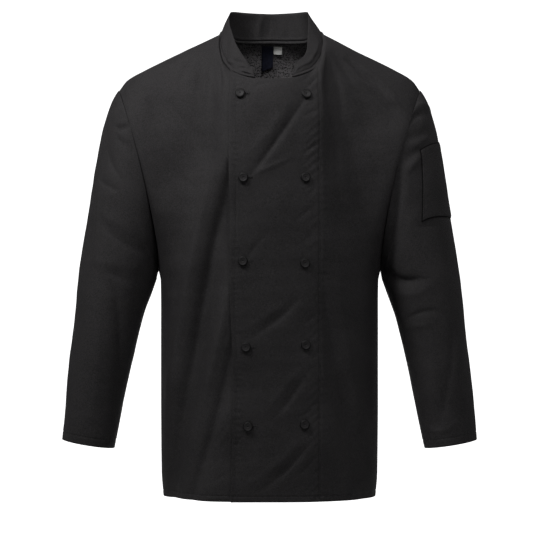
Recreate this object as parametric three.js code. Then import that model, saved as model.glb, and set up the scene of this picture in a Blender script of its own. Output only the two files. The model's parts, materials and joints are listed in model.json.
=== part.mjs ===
// Chef jacket: double-breasted, stand collar, long sleeves, in its worn shape with nobody in it.
// Millimetres. +Z is up, the front faces -Y, and +X is the wearer's left.
// The origin is the middle of the neck, level with the highest point of the shoulders.
import * as THREE from 'three';

// Cloth
const TWILL = 2.0;
const COLLAR_CLOTH = 2.4;
const POCKET_CLOTH = 1.4;
const POCKET_CLEAR = 1.0;
const LABEL_CLOTH = 1.0;
const SEAM_GAP = 0.3;
const LAYER_GAP = 0.7;
const LAP_RISE = TWILL + LAYER_GAP;

// Body
const HEM_Z = -760;
const SIDE_Y = 5;
const UNDERARM = { x: 182, z: -392 };
const SHOULDER_TIP = { x: 248, z: -94.5 };
const BODY_SQUARENESS = 2.3;
const STRAIGHT_HALF = 100;
const UNDER_NECK_DROP = 0.17;

// Yoke, above the underarm: where the neck curve turns to the side, how the cloth leans in to the
// neck and how strongly, and how far the armhole edge stands out below and above
const YOKE = {
  front: { flat: 80, tilt: 62, pull: 62, armholeLow: 86, armholeHigh: 90 },
  back: { flat: 60, tilt: 50, pull: 72, armholeLow: 94, armholeHigh: 96 },
};
const CHEST = { rise: 0.44, push: 6, leanLow: 0.12, leanHigh: 0.85 };
const ARMHOLE = { from: 0.3, lowRise: 95, highIn: 16, highDrop: 29, hingeAngle: 90, hingeSpread: 70 };

// Lap of the fronts: the upper front's free edge, the lower front's edge, and where the step ends
const FREE_EDGE_X = -62;
const UNDER_EDGE_X = 77;
const LAP_FLAT_X = 80;
const LAP_END_X = 94;

// Neck
const NECK = { x: 3, halfWidth: 86, y: -14, depth: 76, sideTurn: 108, reach: 104 };
const COLLAR_TOP = { y: -10, depth: 68, bulge: 2.5 };
const COLLAR_ENDS_X = { right: -22, left: 36 };

// Net of points
const SKIRT_ROWS = 15;
const YOKE_ROWS = 12;
const SIDE_COLUMNS = 6;
const FRONT_COLUMNS_X = [
  -90, -77, FREE_EDGE_X, -49, -36, COLLAR_ENDS_X.right, -8, 7, 22, COLLAR_ENDS_X.left, 50, 64,
  UNDER_EDGE_X, 86, LAP_END_X,
];
const BACK_COLUMNS_X = [-85, -69, -52, -35, -16, 3, 22, 41, 58, 75, 91];
const SLEEVE_RINGS = 19;
const SLEEVE_RING_SPREAD = 1.15;
const COLLAR_ROWS = 4;

// Patch pocket: how far along the sleeve its top and bottom lie, the angle of its front edge at each,
// and of its back edge. Its rows step back along the sleeve, because the rings of the sleeve fan out.
const POCKET = {
  back: -16,
  top: { run: 91, front: 60.5, step: 116 },
  bottom: { run: 217, front: 81.5, step: 74 },
};
const POCKET_NET = { columns: 9, rows: 8 };

// Labels inside the back neck
const NECK_LABEL = { left: -13, right: 6, top: -14, bottomLeft: -55, bottomRight: -48 };
const SIZE_LABEL = { left: 7, right: 20, top: -14.5, bottomLeft: -26.5, bottomRight: -26.5 };
const LABEL_NET = { columns: 3, rows: 4 };
const LABEL_CLEAR = TWILL + LAYER_GAP + 0.4;

// Buttons
const BUTTON = { radius: 8, thick: 2.6, rim: 1.5, dish: 0.7, dimple: 1.3, stand: 0.5, sides: 14 };
const BUTTON_PLACES = {
  a: [[-46, -109], [-41, -243], [-42, -375.5], [-37, -512.5], [-34, -639]],
  b: [[59, -108.5], [57, -242.5], [56, -379], [57, -509], [55.5, -636]],
};

// Half-width, front depth and back depth of the body at each height
const BODY_SECTIONS = [
  { z: -760, half: 174.5, front: 117, back: 110 },
  { z: -720, half: 177.5, front: 118, back: 111 },
  { z: -600, half: 178.5, front: 120, back: 112 },
  { z: -450, half: 178.5, front: 122, back: 112 },
  { z: -408, half: 179, front: 122, back: 113 },
  { z: -392, half: 182, front: 122, back: 113.5 },
];

// Height of the neck seam at each turn from the front middle
const NECK_SEAM = [
  { turn: 0, z: -84 },
  { turn: 18, z: -82.5 },
  { turn: 46, z: -70 },
  { turn: 59, z: -58 },
  { turn: 77, z: -37 },
  { turn: 90, z: -20 },
  { turn: 108, z: 0 },
  { turn: 140, z: -11 },
  { turn: 180, z: -9.5 },
];

// Fall of the shoulder from the neck (0) to the tip (1)
const SHOULDER_FALL = [
  { along: 0, z: 0 },
  { along: 0.217, z: -18 },
  { along: 0.337, z: -28 },
  { along: 0.554, z: -44.5 },
  { along: 0.753, z: -61 },
  { along: 0.92, z: -77.4 },
  { along: 1, z: -94.5 },
];

// Top edge of the collar at each turn, a negative turn being the wearer's right
const COLLAR_EDGE = [
  { turn: -180, x: 3, z: 38 },
  { turn: -135, x: -54, z: 39 },
  { turn: -120, x: -63, z: 37.4 },
  { turn: -105, x: -66, z: 28 },
  { turn: -90, x: -66, z: 15.4 },
  { turn: -75, x: -61.7, z: -2 },
  { turn: -60, x: -54.4, z: -22.5 },
  { turn: -45, x: -46, z: -37.5 },
  { turn: -30, x: -36, z: -52.7 },
  { turn: -18.3, x: -28.8, z: -63 },
  { turn: 22.7, x: 37, z: -70 },
  { turn: 30, x: 39.4, z: -60.6 },
  { turn: 38, x: 45.8, z: -52.5 },
  { turn: 50, x: 55.6, z: -43.4 },
  { turn: 60, x: 61, z: -30.6 },
  { turn: 75, x: 63, z: -9.4 },
  { turn: 90, x: 64.5, z: 12 },
  { turn: 105, x: 64.5, z: 28 },
  { turn: 120, x: 62.5, z: 37.4 },
  { turn: 135, x: 56, z: 39 },
  { turn: 180, x: 3, z: 38 },
];

// Rings of the wearer's left sleeve: length run along its outer edge, the outer and inner edge
// of the ring as seen from the front, half its depth, and how far forward its middle lies
const SLEEVE_SECTIONS = [
  { run: 0, outX: 248, outZ: -94.5, inX: 182, inZ: -392, deep: 70, midY: 7 },
  { run: 10, outX: 254.5, outZ: -102, inX: 182.8, inZ: -394.5, deep: 70, midY: 7 },
  { run: 25, outX: 261, outZ: -117, inX: 183.6, inZ: -397, deep: 70, midY: 7 },
  { run: 69, outX: 274, outZ: -158, inX: 184.4, inZ: -401, deep: 69, midY: 7 },
  { run: 122, outX: 284, outZ: -210, inX: 185, inZ: -405, deep: 68, midY: 6 },
  { run: 188, outX: 295, outZ: -275, inX: 187, inZ: -411, deep: 66, midY: 5 },
  { run: 259, outX: 306, outZ: -345, inX: 192, inZ: -425, deep: 63, midY: 3 },
  { run: 355, outX: 318.5, outZ: -440, inX: 205, inZ: -460, deep: 59, midY: -1 },
  { run: 436, outX: 326.5, outZ: -521, inX: 224.5, inZ: -539, deep: 55, midY: -5 },
  { run: 519, outX: 334.7, outZ: -604, inX: 242, inZ: -620, deep: 50, midY: -9 },
  { run: 582, outX: 340.6, outZ: -667, inX: 254.5, inZ: -681, deep: 46, midY: -12 },
];

// Largest folds, seen from the front: start, a point on the way, end, half-width and depth.
// A negative depth is a valley. Sleeve rows use the x of their own side.
const FOLDS = [
  { on: 'front', x0: -67, z0: -258, x1: -110, z1: -385, x2: -163, z2: -690, wide: 20, deep: -7 },
  { on: 'front', x0: -62, z0: -446, x1: -94, z1: -570, x2: -146, z2: -730, wide: 17, deep: -4 },
  { on: 'front', x0: -88, z0: -300, x1: -140, z1: -430, x2: -172, z2: -600, wide: 16, deep: 3 },
  { on: 'front', x0: -168, z0: -102, x1: -131, z1: -150, x2: -88, z2: -205, wide: 20, deep: -5 },
  { on: 'front', x0: 50, z0: -134, x1: 14, z1: -176, x2: -30, z2: -232, wide: 15, deep: -3.5 },
  { on: 'front', x0: 48, z0: -438, x1: 12, z1: -468, x2: -26, z2: -496, wide: 16, deep: -3 },
  { on: 'front', x0: 69, z0: -665, x1: 30, z1: -700, x2: -15, z2: -740, wide: 17, deep: -3 },
  { on: 'front', x0: 88, z0: -410, x1: 112, z1: -560, x2: 146, z2: -740, wide: 24, deep: -6 },
  { on: 'front', x0: 126, z0: -60, x1: 158, z1: -78, x2: 190, z2: -106, wide: 13, deep: -3 },
  { on: 'front', x0: 168, z0: -92, x1: 190, z1: -110, x2: 214, z2: -136, wide: 12, deep: -3 },
  { on: 'front', x0: 98, z0: -150, x1: 130, z1: -230, x2: 165, z2: -330, wide: 26, deep: -3 },
  { on: 'back', x0: 0, z0: -130, x1: -6, z1: -260, x2: 4, z2: -420, wide: 26, deep: -4 },
  { on: 'back', x0: -150, z0: -140, x1: -110, z1: -240, x2: -70, z2: -420, wide: 22, deep: -5 },
  { on: 'back', x0: 150, z0: -150, x1: 118, z1: -250, x2: 84, z2: -400, wide: 22, deep: -5 },
  { on: 'back', x0: -60, z0: -470, x1: -84, z1: -600, x2: -112, z2: -745, wide: 24, deep: -5 },
  { on: 'back', x0: 70, z0: -440, x1: 92, z1: -600, x2: 104, z2: -745, wide: 24, deep: -5 },
  { on: 'back', x0: -165, z0: -330, x1: -120, z1: -352, x2: -60, z2: -362, wide: 14, deep: -3 },
  { on: 'back', x0: 165, z0: -330, x1: 125, z1: -350, x2: 70, z2: -356, wide: 14, deep: -3 },
  { on: 'right sleeve', x0: -232, z0: -162, x1: -243, z1: -166, x2: -252, z2: -165, wide: 9, deep: -3 },
  { on: 'right sleeve', x0: -262, z0: -318, x1: -226, z1: -340, x2: -192, z2: -372, wide: 20, deep: -6 },
  { on: 'right sleeve', x0: -262, z0: -395, x1: -252, z1: -480, x2: -242, z2: -585, wide: 18, deep: -5 },
  { on: 'left sleeve', x0: 206, z0: -398, x1: 226, z1: -410, x2: 252, z2: -414, wide: 11, deep: -5 },
  { on: 'left sleeve', x0: 212, z0: -414, x1: 240, z1: -426, x2: 270, z2: -402, wide: 10, deep: 3 },
  { on: 'left sleeve', x0: 228, z0: -146, x1: 242, z1: -140, x2: 256, z2: -126, wide: 9, deep: 3 },
  { on: 'left sleeve', x0: 226, z0: -178, x1: 238, z1: -180, x2: 252, z2: -182, wide: 9, deep: -3 },
  { on: 'left sleeve', x0: 292, z0: -490, x1: 288, z1: -560, x2: 262, z2: -625, wide: 16, deep: -5 },
];

const clamp01 = (value) => Math.min(1, Math.max(0, value));
const mix = (from, to, part) => from + (to - from) * part;
const ease = (part) => clamp01(part) ** 2 * (3 - 2 * clamp01(part));
const radians = (degrees) => THREE.MathUtils.degToRad(degrees);
const point = (x, y, z) => new THREE.Vector3(x, y, z);

// Smooth curve through the rows of a table, with no overshoot between two rows
function read(table, by, at, want) {
  const last = table.length - 1;
  const place = Math.min(table[last][by], Math.max(table[0][by], at));
  let low = 0;
  while (low < last - 1 && table[low + 1][by] < place) low += 1;
  const rise = (row) => (table[row + 1][want] - table[row][want]) / (table[row + 1][by] - table[row][by]);
  const slope = (row) => {
    if (row === 0) return rise(0);
    if (row === last) return rise(last - 1);
    const before = rise(row - 1);
    const after = rise(row);
    return before * after <= 0 ? 0 : (2 * before * after) / (before + after);
  };
  const span = table[low + 1][by] - table[low][by];
  const t = (place - table[low][by]) / span;
  const lift = 3 * t * t - 2 * t * t * t;
  const lead = t * t * t - 2 * t * t + t;
  const trail = t * t * t - t * t;
  return table[low][want] * (1 - lift) + table[low + 1][want] * lift
    + span * (lead * slope(low) + trail * slope(low + 1));
}

const bezier = (a, b, c, d, t) => point(0, 0, 0)
  .addScaledVector(a, (1 - t) ** 3)
  .addScaledVector(b, 3 * t * (1 - t) ** 2)
  .addScaledVector(c, 3 * t * t * (1 - t))
  .addScaledVector(d, t ** 3);

// How far the cloth is pushed out or in by the folds of one panel
function foldRise(on, x, z) {
  let rise = 0;
  for (const fold of FOLDS.filter((row) => row.on === on)) {
    let nearest = Infinity;
    let along = 0;
    const steps = 12;
    for (let step = 0; step <= steps; step += 1) {
      const t = step / steps;
      const fx = (1 - t) ** 2 * fold.x0 + 2 * t * (1 - t) * fold.x1 + t * t * fold.x2;
      const fz = (1 - t) ** 2 * fold.z0 + 2 * t * (1 - t) * fold.z1 + t * t * fold.z2;
      const away = Math.hypot(x - fx, z - fz);
      if (away < nearest) {
        nearest = away;
        along = t;
      }
    }
    const taper = 0.25 + 0.75 * Math.sin(Math.PI * mix(0.12, 0.88, along));
    rise += fold.deep * taper * Math.exp(-((nearest / fold.wide) ** 2));
  }
  return rise;
}

// Neck seam, at a turn in degrees from the front middle
function neckPoint(turn) {
  const angle = radians(turn);
  return point(
    NECK.x + NECK.halfWidth * Math.sin(angle),
    NECK.y - NECK.depth * Math.cos(angle),
    read(NECK_SEAM, 'turn', Math.abs(turn), 'z'),
  );
}

// Where a column of the body ends: on the neck seam or on the shoulder
function columnTop(facing, column) {
  const side = Math.sign(column - NECK.x) || 1;
  const out = Math.abs(column - NECK.x);
  const { flat } = facing < 0 ? YOKE.front : YOKE.back;
  const flatTurn = THREE.MathUtils.radToDeg(Math.asin(Math.min(out, flat) / NECK.halfWidth));
  const fromFront = facing < 0 ? flatTurn : 180 - flatTurn;
  const turn = mix(fromFront, NECK.sideTurn, clamp01((out - flat) / (NECK.reach - flat)));
  if (out <= NECK.reach) return { at: neckPoint(side * turn), turn, along: 0 };
  const along = clamp01((out - NECK.reach) / (UNDERARM.x - side * NECK.x - NECK.reach));
  const start = neckPoint(side * NECK.sideTurn);
  const at = point(
    mix(start.x, side * SHOULDER_TIP.x, along),
    mix(start.y, SIDE_Y, along),
    read(SHOULDER_FALL, 'along', along, 'z'),
  );
  return { at, turn: NECK.sideTurn, along };
}

// Body below the underarm: a rounded oblong section, its middle columns straight down
function skirtPoint(facing, column, z) {
  const half = read(BODY_SECTIONS, 'z', z, 'half');
  const deep = read(BODY_SECTIONS, 'z', z, facing < 0 ? 'front' : 'back');
  const out = Math.abs(column);
  const spread = ease((out - STRAIGHT_HALF) / (UNDERARM.x - STRAIGHT_HALF));
  const part = Math.min(1, mix(out / half, out / UNDERARM.x, spread));
  const round = (1 - part ** BODY_SQUARENESS) ** (1 / BODY_SQUARENESS);
  return point(Math.sign(column) * half * part, SIDE_Y + facing * deep * round, z);
}

// Body above the underarm: each column rises from the chest and bends in to its top
function yokePoint(facing, column, t) {
  const start = skirtPoint(facing, column, UNDERARM.z);
  const top = columnTop(facing, column);
  const side = Math.sign(column) || 1;
  const armhole = ease((top.along - ARMHOLE.from) / (1 - ARMHOLE.from));
  const reach = Math.abs(top.turn - NECK.sideTurn) / (facing < 0 ? NECK.sideTurn : 180 - NECK.sideTurn);
  const yoke = facing < 0 ? YOKE.front : YOKE.back;
  const tilt = radians(yoke.tilt * ease(reach));
  const low = point(
    mix(mix(start.x, top.at.x, CHEST.leanLow), start.x, armhole),
    mix(start.y + facing * CHEST.push, SIDE_Y + facing * yoke.armholeLow, armhole),
    start.z + mix(CHEST.rise * (top.at.z - start.z), ARMHOLE.lowRise, armhole),
  );
  const high = point(
    mix(mix(start.x, top.at.x, CHEST.leanHigh), top.at.x - side * ARMHOLE.highIn, armhole),
    mix(top.at.y + facing * yoke.pull * Math.cos(tilt), SIDE_Y + facing * yoke.armholeHigh, armhole),
    top.at.z - mix(yoke.pull * Math.sin(tilt), ARMHOLE.highDrop, armhole),
  );
  return bezier(start, low, high, top.at, t);
}

// Bare form of the body: row 0 is the hem, 1 the underarm, 2 the neck and shoulders
function bodyForm(facing, column, row) {
  const at = row <= 1
    ? skirtPoint(facing, column, mix(HEM_Z, UNDERARM.z, row))
    : yokePoint(facing, column, row - 1);
  at.y += facing * SEAM_GAP / 2;
  return at;
}

// Outward direction of a surface that is given as a function of a column and a row
function outward(surface, column, row, columnStep, rowStep, columnEnds, rowEnds, sign) {
  const c0 = Math.max(columnEnds[0], column - columnStep);
  const c1 = Math.min(columnEnds[1], column + columnStep);
  const r0 = Math.max(rowEnds[0], row - rowStep);
  const r1 = Math.min(rowEnds[1], row + rowStep);
  const across = surface(c1, row).sub(surface(c0, row));
  const up = surface(column, r1).sub(surface(column, r0));
  return across.cross(up).multiplyScalar(sign).normalize();
}

const BODY_ENDS = [-UNDERARM.x, UNDERARM.x];
const ROW_ENDS = [0, 2];

// On the shoulder both panels share the ridge's upright direction, so their walls stay apart
function bodyNormal(surface, facing, column, row) {
  const ends = row > 1 ? [1, 2] : ROW_ENDS;
  const normal = outward((c, r) => surface(facing, c, r), column, row, 0.5, 0.01, BODY_ENDS, ends, -facing);
  const onShoulder = Math.abs(column - NECK.x) >= NECK.reach;
  if (onShoulder && row === 2) normal.setY(0).normalize();
  return normal;
}

// Body with its folds
function bodyPoint(facing, column, row) {
  const at = bodyForm(facing, column, row);
  const normal = bodyNormal(bodyForm, facing, column, row);
  const seam = Math.min(1, (UNDERARM.x - Math.abs(column)) / 25, (2 - row) / 0.12);
  const rise = foldRise(facing < 0 ? 'front' : 'back', at.x, at.z) * clamp01(seam);
  return at.addScaledVector(normal, rise);
}

// Columns from the neck's side point to the side seam, closer together as the body rounds away
function sideColumns(side) {
  const power = 2 / BODY_SQUARENESS;
  const first = side * NECK.x + NECK.reach;
  const start = Math.asin((first / UNDERARM.x) ** (1 / power));
  return Array.from({ length: SIDE_COLUMNS + 1 }, (_, step) => (
    UNDERARM.x * Math.sin(mix(start, Math.PI / 2, step / SIDE_COLUMNS)) ** power
  ));
}

function bodyColumns(middle) {
  const right = sideColumns(-1).map((x) => -x).reverse();
  return [...right, ...middle, ...sideColumns(1)];
}

function bodyRows() {
  const skirt = Array.from({ length: SKIRT_ROWS }, (_, step) => step / SKIRT_ROWS);
  const yoke = Array.from({ length: YOKE_ROWS + 1 }, (_, step) => 1 + step / YOKE_ROWS);
  return [...skirt, ...yoke];
}

// Net of a body panel: each knot has its place on the form and its outward direction
function bodyNet(facing, middle) {
  const columns = bodyColumns(middle);
  return bodyRows().map((row) => columns.map((column) => ({
    column,
    row,
    at: bodyPoint(facing, column, row),
    normal: bodyNormal(bodyPoint, facing, column, row),
  })));
}

// Closed wall between an outer and an inner net; a tube's net closes on itself round each row
function wall(outer, inner, tube = false) {
  const rows = outer.length;
  const width = outer[0].length;
  const vertices = [];
  for (const net of [outer, inner]) {
    for (const row of net) {
      for (const at of row) vertices.push(at.x, at.y, at.z);
    }
  }
  const index = [];
  const id = (layer, row, column) => layer * rows * width + row * width + (column % width);
  const quad = (a, b, c, d) => index.push(a, b, c, a, c, d);
  const across = tube ? width : width - 1;
  for (let row = 0; row < rows - 1; row += 1) {
    for (let column = 0; column < across; column += 1) {
      quad(id(0, row, column), id(0, row, column + 1), id(0, row + 1, column + 1), id(0, row + 1, column));
      quad(id(1, row, column), id(1, row + 1, column), id(1, row + 1, column + 1), id(1, row, column + 1));
    }
  }
  for (let column = 0; column < across; column += 1) {
    quad(id(1, 0, column), id(1, 0, column + 1), id(0, 0, column + 1), id(0, 0, column));
    const top = rows - 1;
    quad(id(0, top, column), id(0, top, column + 1), id(1, top, column + 1), id(1, top, column));
  }
  if (!tube) {
    const end = width - 1;
    for (let row = 0; row < rows - 1; row += 1) {
      quad(id(1, row, 0), id(0, row, 0), id(0, row + 1, 0), id(1, row + 1, 0));
      quad(id(0, row, end), id(1, row, end), id(1, row + 1, end), id(0, row + 1, end));
    }
  }
  const geometry = new THREE.BufferGeometry();
  geometry.setAttribute('position', new THREE.Float32BufferAttribute(vertices, 3));
  geometry.setIndex(volume(vertices, index) < 0 ? flipped(index) : index);
  geometry.computeVertexNormals();
  return geometry;
}

function volume(vertices, index) {
  const corner = (i) => new THREE.Vector3().fromArray(vertices, index[i] * 3);
  let sum = 0;
  for (let i = 0; i < index.length; i += 3) sum += corner(i).dot(corner(i + 1).cross(corner(i + 2)));
  return sum / 6;
}

function flipped(index) {
  const turned = [];
  for (let i = 0; i < index.length; i += 3) turned.push(index[i], index[i + 2], index[i + 1]);
  return turned;
}

const lifted = (net, height) => net.map((row) => row.map((knot) => (
  knot.at.clone().addScaledVector(knot.normal, typeof height === 'function' ? height(knot) : height)
)));

// Rise of the upper front over the lower one, which ends past the wearer's left button column
const lapRise = (x) => LAP_RISE * (1 - ease((x - LAP_FLAT_X) / (LAP_END_X - LAP_FLAT_X)));

const sliceColumns = (net, keep) => net.map((row) => row.filter((knot) => keep(knot.column)));

function leftFront(net) {
  const knots = sliceColumns(net, (x) => x >= FREE_EDGE_X);
  const outer = lifted(knots, (knot) => lapRise(knot.column));
  const inner = lifted(knots, (knot) => lapRise(knot.column) - TWILL);
  return wall(outer, inner);
}

// The lower front's neckline is dropped under the upper front, clear of the collar
function rightFront(net) {
  const knots = sliceColumns(net, (x) => x <= UNDER_EDGE_X);
  const below = knots.at(-2);
  const top = knots.at(-1).map((knot, i) => (knot.column <= FREE_EDGE_X ? knot : {
    ...knot,
    at: knot.at.clone().lerp(below[i].at, UNDER_NECK_DROP),
    normal: knot.normal.clone().lerp(below[i].normal, UNDER_NECK_DROP).normalize(),
  }));
  const dropped = [...knots.slice(0, -1), top];
  return wall(lifted(dropped, 0), lifted(dropped, -TWILL));
}

function backPanel(net) {
  return wall(lifted(net, 0), lifted(net, -TWILL));
}

// Sleeve ring point: angle 0 at the outer edge, 180 at the inner edge, the front between them
function sleeveForm(side, run, angle) {
  const ring = (want) => read(SLEEVE_SECTIONS, 'run', run, want);
  const out = point(ring('outX'), 0, ring('outZ'));
  const inn = point(ring('inX'), 0, ring('inZ'));
  const turn = radians(angle);
  const at = out.clone().add(inn).multiplyScalar(0.5);
  at.addScaledVector(out.sub(inn), Math.cos(turn) / 2);
  at.y = ring('midY') - ring('deep') * Math.sin(turn);
  at.x *= side;
  return at;
}

function sleevePoint(side, run, angle) {
  const form = (a, r) => sleeveForm(side, r, a);
  const at = form(angle, run);
  const normal = sleeveNormal(form, side, run, angle);
  const front = clamp01(Math.sin(radians(angle)) * 2);
  const ends = clamp01(Math.min(run / 40, 1));
  const rise = foldRise(side > 0 ? 'left sleeve' : 'right sleeve', at.x, at.z) * front * ends;
  return at.addScaledVector(normal, rise);
}

function sleeveNormal(surface, side, run, angle) {
  const ends = [0, SLEEVE_SECTIONS.at(-1).run];
  return outward(surface, angle, run, 1, 1, [-Infinity, Infinity], ends, side);
}

// The first ring follows the armhole edge of both body panels, 0.3 mm off it
function sleeveNet(side, frontNet, backNet) {
  const edge = (net) => net.filter((row) => row[0].row >= 1).map((row) => (side > 0 ? row.at(-1) : row[0]));
  const down = edge(frontNet).reverse();
  const up = edge(backNet).slice(1, -1);
  const armhole = [...down, ...up];
  const surface = (a, r) => sleevePoint(side, r, a);
  const cuff = SLEEVE_SECTIONS.at(-1).run;
  const angles = armhole.map((_, i) => (360 * i) / armhole.length);
  const rings = Array.from({ length: SLEEVE_RINGS }, (_, i) => {
    const run = cuff * ((i + 1) / SLEEVE_RINGS) ** SLEEVE_RING_SPREAD;
    return angles.map((angle) => ({
      at: surface(angle, run),
      normal: sleeveNormal(surface, side, run, angle),
    }));
  });
  const first = armhole.map((knot, i) => {
    const hinge = ease((ARMHOLE.hingeAngle - Math.abs(angles[i] - 180)) / ARMHOLE.hingeSpread);
    const count = armhole.length;
    const edgeLine = armhole[(i + 1) % count].at.clone().sub(armhole[(i + count - 1) % count].at).normalize();
    const leave = rings[0][i].at.clone().sub(knot.at);
    leave.addScaledVector(edgeLine, -leave.dot(edgeLine)).normalize();
    const own = rings[0][i].normal;
    const shift = leave.multiplyScalar(1 - hinge).addScaledVector(knot.normal, hinge).normalize();
    return {
      at: knot.at.clone().addScaledVector(shift, SEAM_GAP * (2 + hinge)),
      normal: knot.normal.clone().multiplyScalar(1 - hinge).addScaledVector(own, hinge).normalize(),
    };
  });
  return [first, ...rings];
}

function sleeve(net) {
  return wall(lifted(net, 0), lifted(net, -TWILL), true);
}

// Patch pocket round the outside of the wearer's left sleeve
function sleevePocket() {
  const surface = (a, r) => sleevePoint(1, r, a);
  const knots = [];
  for (let row = 0; row <= POCKET_NET.rows; row += 1) {
    const down = row / POCKET_NET.rows;
    const line = [];
    for (let column = 0; column <= POCKET_NET.columns; column += 1) {
      const level = (want) => mix(POCKET.top[want], POCKET.bottom[want], down);
      const angle = mix(level('front'), POCKET.back, column / POCKET_NET.columns);
      const run = level('run') - level('step') * (1 - Math.cos(radians(angle)));
      line.push({ at: surface(angle, run), normal: sleeveNormal(surface, 1, run, angle) });
    }
    knots.push(line);
  }
  return wall(lifted(knots, POCKET_CLEAR + POCKET_CLOTH), lifted(knots, POCKET_CLEAR));
}

// Outward directions of a net, taken from its own knots
function netNormals(net, sign) {
  const rows = net.length - 1;
  const columns = net[0].length - 1;
  return net.map((line, row) => line.map((at, column) => {
    const across = line[Math.min(columns, column + 1)].clone().sub(line[Math.max(0, column - 1)]);
    const up = net[Math.min(rows, row + 1)][column].clone().sub(net[Math.max(0, row - 1)][column]);
    return { at, normal: across.cross(up).multiplyScalar(sign).normalize() };
  }));
}

const awayFromNeck = (turn) => point(Math.sin(radians(turn)), -Math.cos(radians(turn)), 0);

// The collar is sewn to every panel knot on the neck, from one front end round the back to the other
function collarSeam(frontNet, backNet) {
  const seam = (net, facing) => net.at(-1)
    .filter((knot) => Math.abs(knot.column - NECK.x) <= NECK.reach)
    .map((knot) => {
      const turn = (Math.sign(knot.column - NECK.x) || 1) * columnTop(facing, knot.column).turn;
      const lap = knot.column >= FREE_EDGE_X && facing < 0 ? lapRise(knot.column) : 0;
      const past = awayFromNeck(turn).negate().projectOnPlane(knot.normal).normalize();
      const at = knot.at.clone().addScaledVector(knot.normal, lap).addScaledVector(past, SEAM_GAP * 3);
      return { column: knot.column, turn, at };
    });
  const front = seam(frontNet, -1);
  const back = seam(backNet, 1).slice(1, -1).reverse();
  const left = front.filter((knot) => knot.column >= COLLAR_ENDS_X.left);
  const right = front.filter((knot) => knot.column <= COLLAR_ENDS_X.right);
  return [...left, ...back, ...right];
}

// Collar: from its seam to its top edge, leaning in to the neck
function collar(frontNet, backNet) {
  const seam = collarSeam(frontNet, backNet);
  const net = Array.from({ length: COLLAR_ROWS + 1 }, (_, row) => seam.map(({ turn, at }) => {
    const top = point(
      read(COLLAR_EDGE, 'turn', turn, 'x'),
      COLLAR_TOP.y - COLLAR_TOP.depth * Math.cos(radians(turn)),
      read(COLLAR_EDGE, 'turn', turn, 'z'),
    );
    const height = row / COLLAR_ROWS;
    const bulge = COLLAR_TOP.bulge * 4 * height * (1 - height);
    return at.clone().lerp(top, height).addScaledVector(awayFromNeck(turn), bulge);
  }));
  const knots = netNormals(net, 1);
  return wall(lifted(knots, 0), lifted(knots, -COLLAR_CLOTH));
}

// Button: a disc with a raised rim and a small dimple in the middle, turned about its axis
function button() {
  const { radius, thick, rim, dish, dimple, sides } = BUTTON;
  const profile = [
    [0, 0],
    [radius - 0.8, 0],
    [radius, 0.9],
    [radius, thick - 0.5],
    [radius - 0.6, thick],
    [radius - rim, thick],
    [radius - rim - 0.6, thick - dish],
    [dimple, thick - dish],
    [0, thick - dish - 0.5],
  ].map(([r, height]) => new THREE.Vector2(r, height));
  return new THREE.LatheGeometry(profile, sides);
}

// Place on the body in a column at a given height, with its outward direction
function bodyFace(facing, column, z) {
  let low = 0;
  let high = 2;
  const halvings = 30;
  for (let i = 0; i < halvings; i += 1) {
    const middle = (low + high) / 2;
    if (bodyPoint(facing, column, middle).z < z) low = middle;
    else high = middle;
  }
  return { at: bodyPoint(facing, column, low), normal: bodyNormal(bodyPoint, facing, column, low) };
}

// Face of the upper front
function frontFace(x, z) {
  const face = bodyFace(-1, x, z);
  face.at.addScaledVector(face.normal, lapRise(x));
  return face;
}

function placedButton(name, x, z) {
  const face = frontFace(x, z);
  const mesh = new THREE.Mesh(button(), material.button());
  mesh.name = name;
  mesh.position.copy(face.at).addScaledVector(face.normal, BUTTON.stand);
  mesh.quaternion.setFromUnitVectors(point(0, 1, 0), face.normal);
  return mesh;
}

// Labels lie on the inside of the back, just under the collar seam
function label(size) {
  const { columns, rows } = LABEL_NET;
  const knots = [];
  for (let row = 0; row <= rows; row += 1) {
    const line = [];
    for (let column = 0; column <= columns; column += 1) {
      const part = column / columns;
      const bottom = mix(size.bottomLeft, size.bottomRight, part);
      line.push(bodyFace(1, mix(size.left, size.right, part), mix(size.top, bottom, row / rows)));
    }
    knots.push(line);
  }
  return wall(lifted(knots, -LABEL_CLEAR), lifted(knots, -LABEL_CLEAR - LABEL_CLOTH));
}

const matt = (color, roughness) => new THREE.MeshStandardMaterial({ color, roughness, metalness: 0 });
const material = {
  twill: () => matt('#272426', 0.85),
  mesh: () => matt('#2b292b', 0.92),
  button: () => matt('#211e20', 0.5),
  neckLabel: () => matt('#12131f', 0.7),
  sizeLabel: () => matt('#e4e4e2', 0.75),
};

function piece(name, geometry, look) {
  const mesh = new THREE.Mesh(geometry, look);
  mesh.name = name;
  return mesh;
}

function buildJacket() {
  const jacket = new THREE.Group();
  const front = bodyNet(-1, FRONT_COLUMNS_X);
  const back = bodyNet(1, BACK_COLUMNS_X);
  jacket.add(
    piece('back', backPanel(back), material.mesh()),
    piece('left_front', leftFront(front), material.twill()),
    piece('right_front', rightFront(front), material.twill()),
    piece('sleeve_left', sleeve(sleeveNet(1, front, back)), material.twill()),
    piece('sleeve_right', sleeve(sleeveNet(-1, front, back)), material.twill()),
    piece('collar', collar(front, back), material.twill()),
    piece('sleeve_pocket', sleevePocket(), material.twill()),
    piece('neck_label', label(NECK_LABEL), material.neckLabel()),
    piece('size_label', label(SIZE_LABEL), material.sizeLabel()),
  );
  for (const [column, places] of Object.entries(BUTTON_PLACES)) {
    places.forEach(([x, z], i) => jacket.add(placedButton(`button_${column}_${i + 1}`, x, z)));
  }
  return jacket;
}

export default buildJacket();
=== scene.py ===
# %% [markdown]
# # A chef jacket in dark twill
# The jacket keeps the shape of the body that wears it, but nobody is in it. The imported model
# already has each panel as a plain wall at its real size. Here every panel becomes thin cloth with
# its creases, seams and stitches, on the same form. Loading the model first fixes all places.

import json
import math
from collections import namedtuple

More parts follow.
